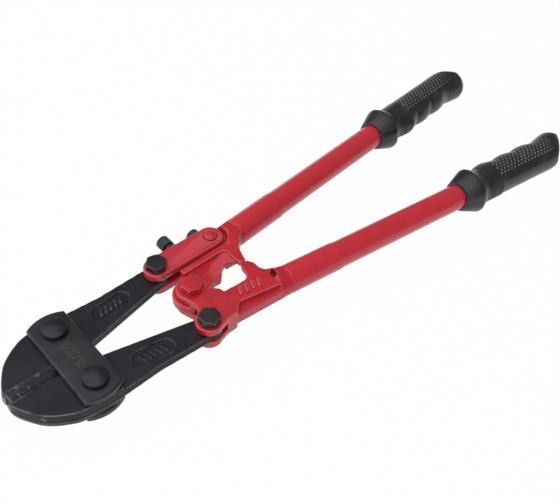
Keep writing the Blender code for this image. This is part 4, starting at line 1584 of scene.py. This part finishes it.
@dataclass
class Handles:
    """The two steel tubes and their moulded grips."""

    shop: Workshop
    paint: SatinPaint
    rubber: MouldedRubber
    stud_rubber: MouldedRubber
    swaged_radius: float = SWAGED_RADIUS
    tube_radius: float = 9.15
    tube_wall: float = TUBE_WALL
    tube_lead: float = 1.1
    neck_at: float = 39.5
    neck_length: float = 4.0
    grip_front: float = 155.0
    grip_end: float = 268.7
    end_wall: float = 21.0
    collar_radius: float = 16.5
    collar_bevel: float = 12.2
    collar_flat: float = 2.0
    collar_back: float = 6.8
    collar_facets: float = 0.06
    grip_radius: float = 12.6
    grip_flare: float = 13.4
    crown_length: float = 8.5
    bands: int = 190
    bumps: int = 3
    bump_pitch: float = 20.0
    bump_rise: float = 2.2
    pommel_rise: float = 2.6
    pommel_length: float = 24.0
    end_slant: float = 14.0
    slant_length: float = 30.0
    end_taper: float = 0.16
    rib_pitch: float = 1.9
    rib_rise: float = 0.6
    ribs: int = 8
    stud_columns: int = 17
    stud_rows: int = 6
    stud_pitch: float = 3.7
    stud_row_pitch: float = 2.5
    stud_start: float = 16.0
    stud_radius: float = 0.8

    @property
    def body_from(self) -> float:
        """Return where along the handle the collar ends and the plain grip starts."""
        return self.grip_front + self.collar_bevel + self.collar_flat + self.collar_back

    def build_tube(self, side: Side) -> None:
        """Build and dress one tube, opened out over its spigot.

        Args:
            side: Which handle.
        """
        end = self.grip_end - self.end_wall - GAP
        wall = self.tube_wall
        swaged, plain = self.swaged_radius, self.tube_radius
        neck = [(plain + (swaged - plain) * share, self.neck_at + self.neck_length * (1 - share))
                for share in (0.0, 0.1, 0.5, 0.9, 1.0)]
        profile = [(plain - wall, end), (plain, end)] + neck + [
            (swaged, self.tube_lead), (swaged - self.tube_lead, 0.0), (swaged - wall, 0.0),
            (swaged - wall, self.neck_at), (plain - wall, self.neck_at + self.neck_length)]
        tube = Shape.turned(profile, 80).transform(HandleAxis(side).matrix)
        self.shop.hand_over(tube, f"{side.label}_tube_steel", f"{side.label}_handle", self.paint,
                            [f"{side.label}_handle_tube"], 35.0)

    def grip_profile(self) -> Outline:
        """Draw the profile of a plain grip with its blind bore.

        Returns:
            Radius and height pairs, far end first.
        """
        end, front = self.grip_end, self.grip_front
        lip = self.tube_radius + GAP
        flat_front = front + self.collar_bevel
        flat_back = flat_front + self.collar_flat
        body = self.body_from
        start = end - self.crown_length
        crown = flowing([(0.0, end), (6.5, end - 0.3), (10.0, end - 1.8), (12.4, end - 4.6),
                         (self.grip_flare, start)], 4)
        run = []
        for band in range(1, self.bands + 1):
            share = band / self.bands
            swell = (self.grip_flare - self.grip_radius) * max(0.0, 1.0 - 4.0 * share)
            run.append((self.grip_radius + swell, start - share * (start - body)))
        soft = 0.5
        collar = [(self.grip_radius + 0.9, body - 1.4), (self.collar_radius - 0.5, flat_back + soft),
                  (self.collar_radius, flat_back - soft), (self.collar_radius, flat_front + soft),
                  (self.collar_radius - 0.3, flat_front - soft),
                  (lip + 2.0, front + 0.5), (lip + 1.4, front), (lip, front)]
        return crown + run + collar + [(lip, end - self.end_wall), (0.0, end - self.end_wall)]

    def shaped(self, spot: Vector, inward: int) -> Vector:
        """Return where a point of the plain grip goes: finger swells, ribs, pommel, slant.

        Args:
            spot: Point about the upright grip's axis.
            inward: Sign of the grip's own Y towards the other handle.

        Returns:
            The moved point.
        """
        radius = math.hypot(spot.x, spot.y)
        along = spot.z
        if radius < self.tube_radius + 2 * GAP and along < self.grip_end - self.end_wall + GAP:
            return spot
        facing = inward * spot.y / radius if radius > TINY else 0.0
        upward = -spot.x / radius if radius > TINY else 0.0
        body = self.body_from
        first = body + 4.0
        rise = 0.0
        if first < along < first + self.bumps * self.bump_pitch:
            swing = abs(math.sin(math.pi * (along - first) / self.bump_pitch))
            rise = self.bump_rise * swing ** 0.8
        pommel = clamp((along - self.grip_end + self.pommel_length) / self.pommel_length)
        rise += self.pommel_rise * math.sin(math.pi * min(1.0, 1.25 * pommel) / 2)
        late = clamp((along - self.grip_end + self.slant_length) / self.slant_length)
        outer = clamp((0.35 - inward * spot.y / self.grip_radius) / 1.35)
        scale = 1.0 - self.end_taper * late ** 2 * outer
        flare = clamp((along - self.grip_front) / self.collar_bevel)
        if radius > TINY and along < body:
            facet = 0.5 + 0.5 * math.cos(4.0 * math.acos(max(-1.0, min(1.0, upward))))
            upper = clamp((upward + 0.6) / 0.8)
            scale -= self.collar_facets * flare * facet * upper
        if radius > TINY:
            scale += rise * max(0.0, facing) ** 1.5 / self.grip_radius
            last = body + 1.0 + self.ribs * self.rib_pitch
            if body + 1.0 < along < last:
                swing = 0.5 - 0.5 * math.cos(2 * math.pi * (along - body - 1.0) / self.rib_pitch)
                away = clamp((0.75 - upward) * 2.5)
                scale += self.rib_rise * swing * away / self.grip_radius
        return Vector((spot.x * scale, spot.y * scale, along - self.end_slant * late ** 2 * outer))

    def stud(self, along: float, across: float, inward: int) -> Shape:
        """Return one low stud on the top of a grip.

        Args:
            along: Place along the handle.
            across: Distance from the top line, round the grip.
            inward: Sign of the grip's own Y towards the other handle.

        Returns:
            The stud, on the upright grip.
        """
        angle = across / self.grip_radius
        foot = self.shaped(Vector((-self.grip_radius * math.cos(angle),
                                   self.grip_radius * math.sin(angle), along)), inward)
        mesh = bmesh.new()
        seat = (Matrix.Translation(foot) @ Matrix.Rotation(-angle, 4, "Z")
                @ Matrix.Rotation(-math.pi / 2, 4, "Y") @ Matrix.Diagonal((1.0, 1.0, 0.75, 1.0)))
        bmesh.ops.create_icosphere(mesh, subdivisions=2, radius=self.stud_radius, matrix=seat)
        return Shape(mesh)

    def build_grip(self, side: Side) -> None:
        """Build and dress one grip and its studs.

        Args:
            side: Which handle.
        """
        inward = -side.value
        axis = HandleAxis(side).matrix
        grip = Shape.turned(self.grip_profile(), 128)
        for vert in grip.mesh.verts:
            vert.co = self.shaped(vert.co, inward)
        self.shop.hand_over(grip.transform(axis), f"{side.label}_grip_rubber",
                            f"{side.label}_handle", self.rubber, [f"{side.label}_grip"], 50.0)
        start = self.body_from + self.stud_start
        studs = []
        for column in range(self.stud_columns):
            for row in range(self.stud_rows):
                across = (row - (self.stud_rows - 1) / 2) * self.stud_row_pitch
                along = start + (column + 0.5 * (row % 2)) * self.stud_pitch
                studs.append(self.stud(along, across, inward))
        field_of_studs = studs[0].beside(*studs[1:]).transform(axis)
        self.shop.hand_over(field_of_studs, f"{side.label}_grip_studs", f"{side.label}_handle",
                            self.stud_rubber)

    def build(self) -> None:
        """Build both handles."""
        for side in Side:
            self.build_tube(side)
            self.build_grip(side)


# Studio


@dataclass
class Studio:
    """A plain pale floor, soft light and the camera, in metres."""

    camera_at: Triple = (-0.2960, -0.2600, 0.4054)
    camera_turn: Triple = (43.327, -4.456, -41.741)
    lens: float = 51.6
    sensor: float = 36.0
    floor_colour: Colour = (0.85, 0.85, 0.85)
    floor_white: float = 0.985
    floor_size: float = 6.0
    floor_z: float = -0.0002
    ambient: float = 0.33
    surround: float = 0.24
    key_power: float = 16.5
    key_size: float = 2.2
    key_at: Triple = (-0.6, 0.3, 1.2)
    fill_power: float = 3.6
    fill_size: float = 1.6
    fill_at: Triple = (-0.9, -1.1, 0.8)

    def paper(self) -> bpy.types.Material:
        """Make the floor's material: white to the camera, with a faint shadow left.

        Returns:
            The material.
        """
        paper = bpy.data.materials.new("studio_paper")
        paper.use_nodes = True
        graph = Graph(paper.node_tree)
        graph.tree.nodes.clear()
        camera, glossy = graph.rays("Camera", "Glossy")
        white = graph.node("ShaderNodeEmission", None, {"Strength": 1.0})
        matte = graph.node("ShaderNodeBsdfDiffuse", None, {"Color": (*self.floor_colour, 1.0)})
        mix = graph.node("ShaderNodeMixShader", None, {
            0: (camera + glossy) * self.floor_white, 1: matte.outputs[0], 2: white.outputs[0]})
        graph.node("ShaderNodeOutputMaterial", None, {"Surface": mix.outputs[0]})
        return paper

    def build_floor(self) -> None:
        """Build the floor."""
        mesh = bmesh.new()
        bmesh.ops.create_grid(mesh, x_segments=1, y_segments=1, size=self.floor_size,
                              matrix=Matrix.Translation((0, 0, self.floor_z)))
        floor = Shape(mesh).as_object("studio_floor")
        floor.data.materials.append(self.paper())

    def build_lamp(self, name: str, place: Triple, power: float, size: float) -> None:
        """Hang one soft lamp that looks at the tool.

        Args:
            name: Name of the lamp.
            place: Where it hangs.
            power: Its power in watts.
            size: Side of its square.
        """
        lamp = bpy.data.lights.new(name, "AREA")
        lamp.energy = power
        lamp.shape = "SQUARE"
        lamp.size = size
        thing = bpy.data.objects.new(name, lamp)
        thing.location = place
        thing.rotation_euler = (-Vector(place)).to_track_quat("-Z", "Y").to_euler()
        bpy.context.scene.collection.objects.link(thing)

    def build_world(self) -> None:
        """Light the scene from all round, with a white surround in the reflections."""
        world = bpy.data.worlds.new("studio_world")
        world.use_nodes = True
        bpy.context.scene.world = world
        graph = Graph(world.node_tree)
        camera, through, diffuse, glossy = graph.rays("Camera", "Transmission", "Diffuse", "Glossy")
        level = camera + through + diffuse * self.ambient + glossy * self.surround
        back = graph.tree.nodes["Background"]
        graph.supply(back.inputs["Color"], (1.0, 1.0, 1.0, 1.0))
        graph.supply(back.inputs["Strength"], level)

    def build_camera(self) -> None:
        """Set up the camera."""
        data = bpy.data.cameras.new("studio_camera")
        data.lens = self.lens
        data.sensor_width = self.sensor
        data.clip_start = 0.01
        camera = bpy.data.objects.new("studio_camera", data)
        camera.location = self.camera_at
        camera.rotation_euler = [math.radians(angle) for angle in self.camera_turn]
        bpy.context.scene.collection.objects.link(camera)
        bpy.context.scene.camera = camera

    def build(self) -> None:
        """Build the whole studio."""
        self.build_floor()
        self.build_world()
        self.build_lamp("key_lamp", self.key_at, self.key_power, self.key_size)
        self.build_lamp("fill_lamp", self.fill_at, self.fill_power, self.fill_size)
        self.build_camera()
        bpy.context.scene.view_settings.view_transform = "Standard"


def main() -> None:
    """Build the tool and its studio around the frame."""
    logging.basicConfig(level=logging.INFO, format="%(message)s")
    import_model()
    layout = Layout.from_frame()
    shop = Workshop(layout)
    centre_x = layout.centre.x / MM
    # Each steel's edge colour is real edge wear and painted edge highlight together.
    jaw_steel = JawSteel(
        "blackened_forging", "blackened_steel", colour=(0.0205, 0.0215, 0.027),
        pale=(0.033, 0.035, 0.043), edge=(0.3, 0.31, 0.33), roughness=0.4, centre_x=centre_x)
    plate_steel = PlateSteel(
        "blackened_plate", "plate_steel", colour=(0.034, 0.0335, 0.04),
        pale=(0.05, 0.0495, 0.058), edge=(0.27, 0.28, 0.295), roughness=0.36, centre_x=centre_x)
    bolt_steel = BlackenedSteel(
        "blackened_bolt", "bolt_steel", colour=(0.03, 0.031, 0.037),
        pale=(0.052, 0.053, 0.062), edge=(0.26, 0.27, 0.285), roughness=0.32, grain=0.5)
    # Hexagon heads: a wider mask of edge wear and painted highlight on their rims.
    hexagon_steel = replace(bolt_steel, name="blackened_hexagon", wear_and_highlight_range=(0.508, 0.56))
    # The deep colour of each paint is also painted shade in corners; its pale colour is a painted
    # highlight on edges.
    casting_paint = SatinPaint(
        "red_casting_paint", "red_paint", colour=(0.64, 0.015, 0.031),
        deep_tone_and_shade=(0.13, 0.002, 0.005), pale=(0.85, 0.22, 0.25), roughness=0.3)
    tube_paint = SatinPaint(
        "red_tube_paint", "tube_paint", colour=(0.7, 0.03, 0.048),
        deep_tone_and_shade=(0.5, 0.012, 0.025), pale=(0.75, 0.1, 0.13), roughness=0.3, depth=0.015,
        edge=(0.56, 0.72))
    rubber = MouldedRubber(
        "black_rubber", "grip_rubber", colour=(0.019, 0.0195, 0.024),
        bloom=(0.056, 0.058, 0.067), roughness=0.31)
    # The studs are a paler grey than the grip.
    stud_rubber = MouldedRubber(
        "pale_stud_rubber", "grip_rubber", colour=(0.16, 0.165, 0.175),
        bloom=(0.28, 0.285, 0.3), roughness=0.42)
    Head(shop, jaw_steel, plate_steel, bolt_steel).build()
    Linkage(shop, casting_paint, bolt_steel, hexagon_steel).build()
    Castings(shop, casting_paint).build()
    Handles(shop, tube_paint, rubber, stud_rubber).build()
    Studio().build()


if __name__ == "__main__":
    main()
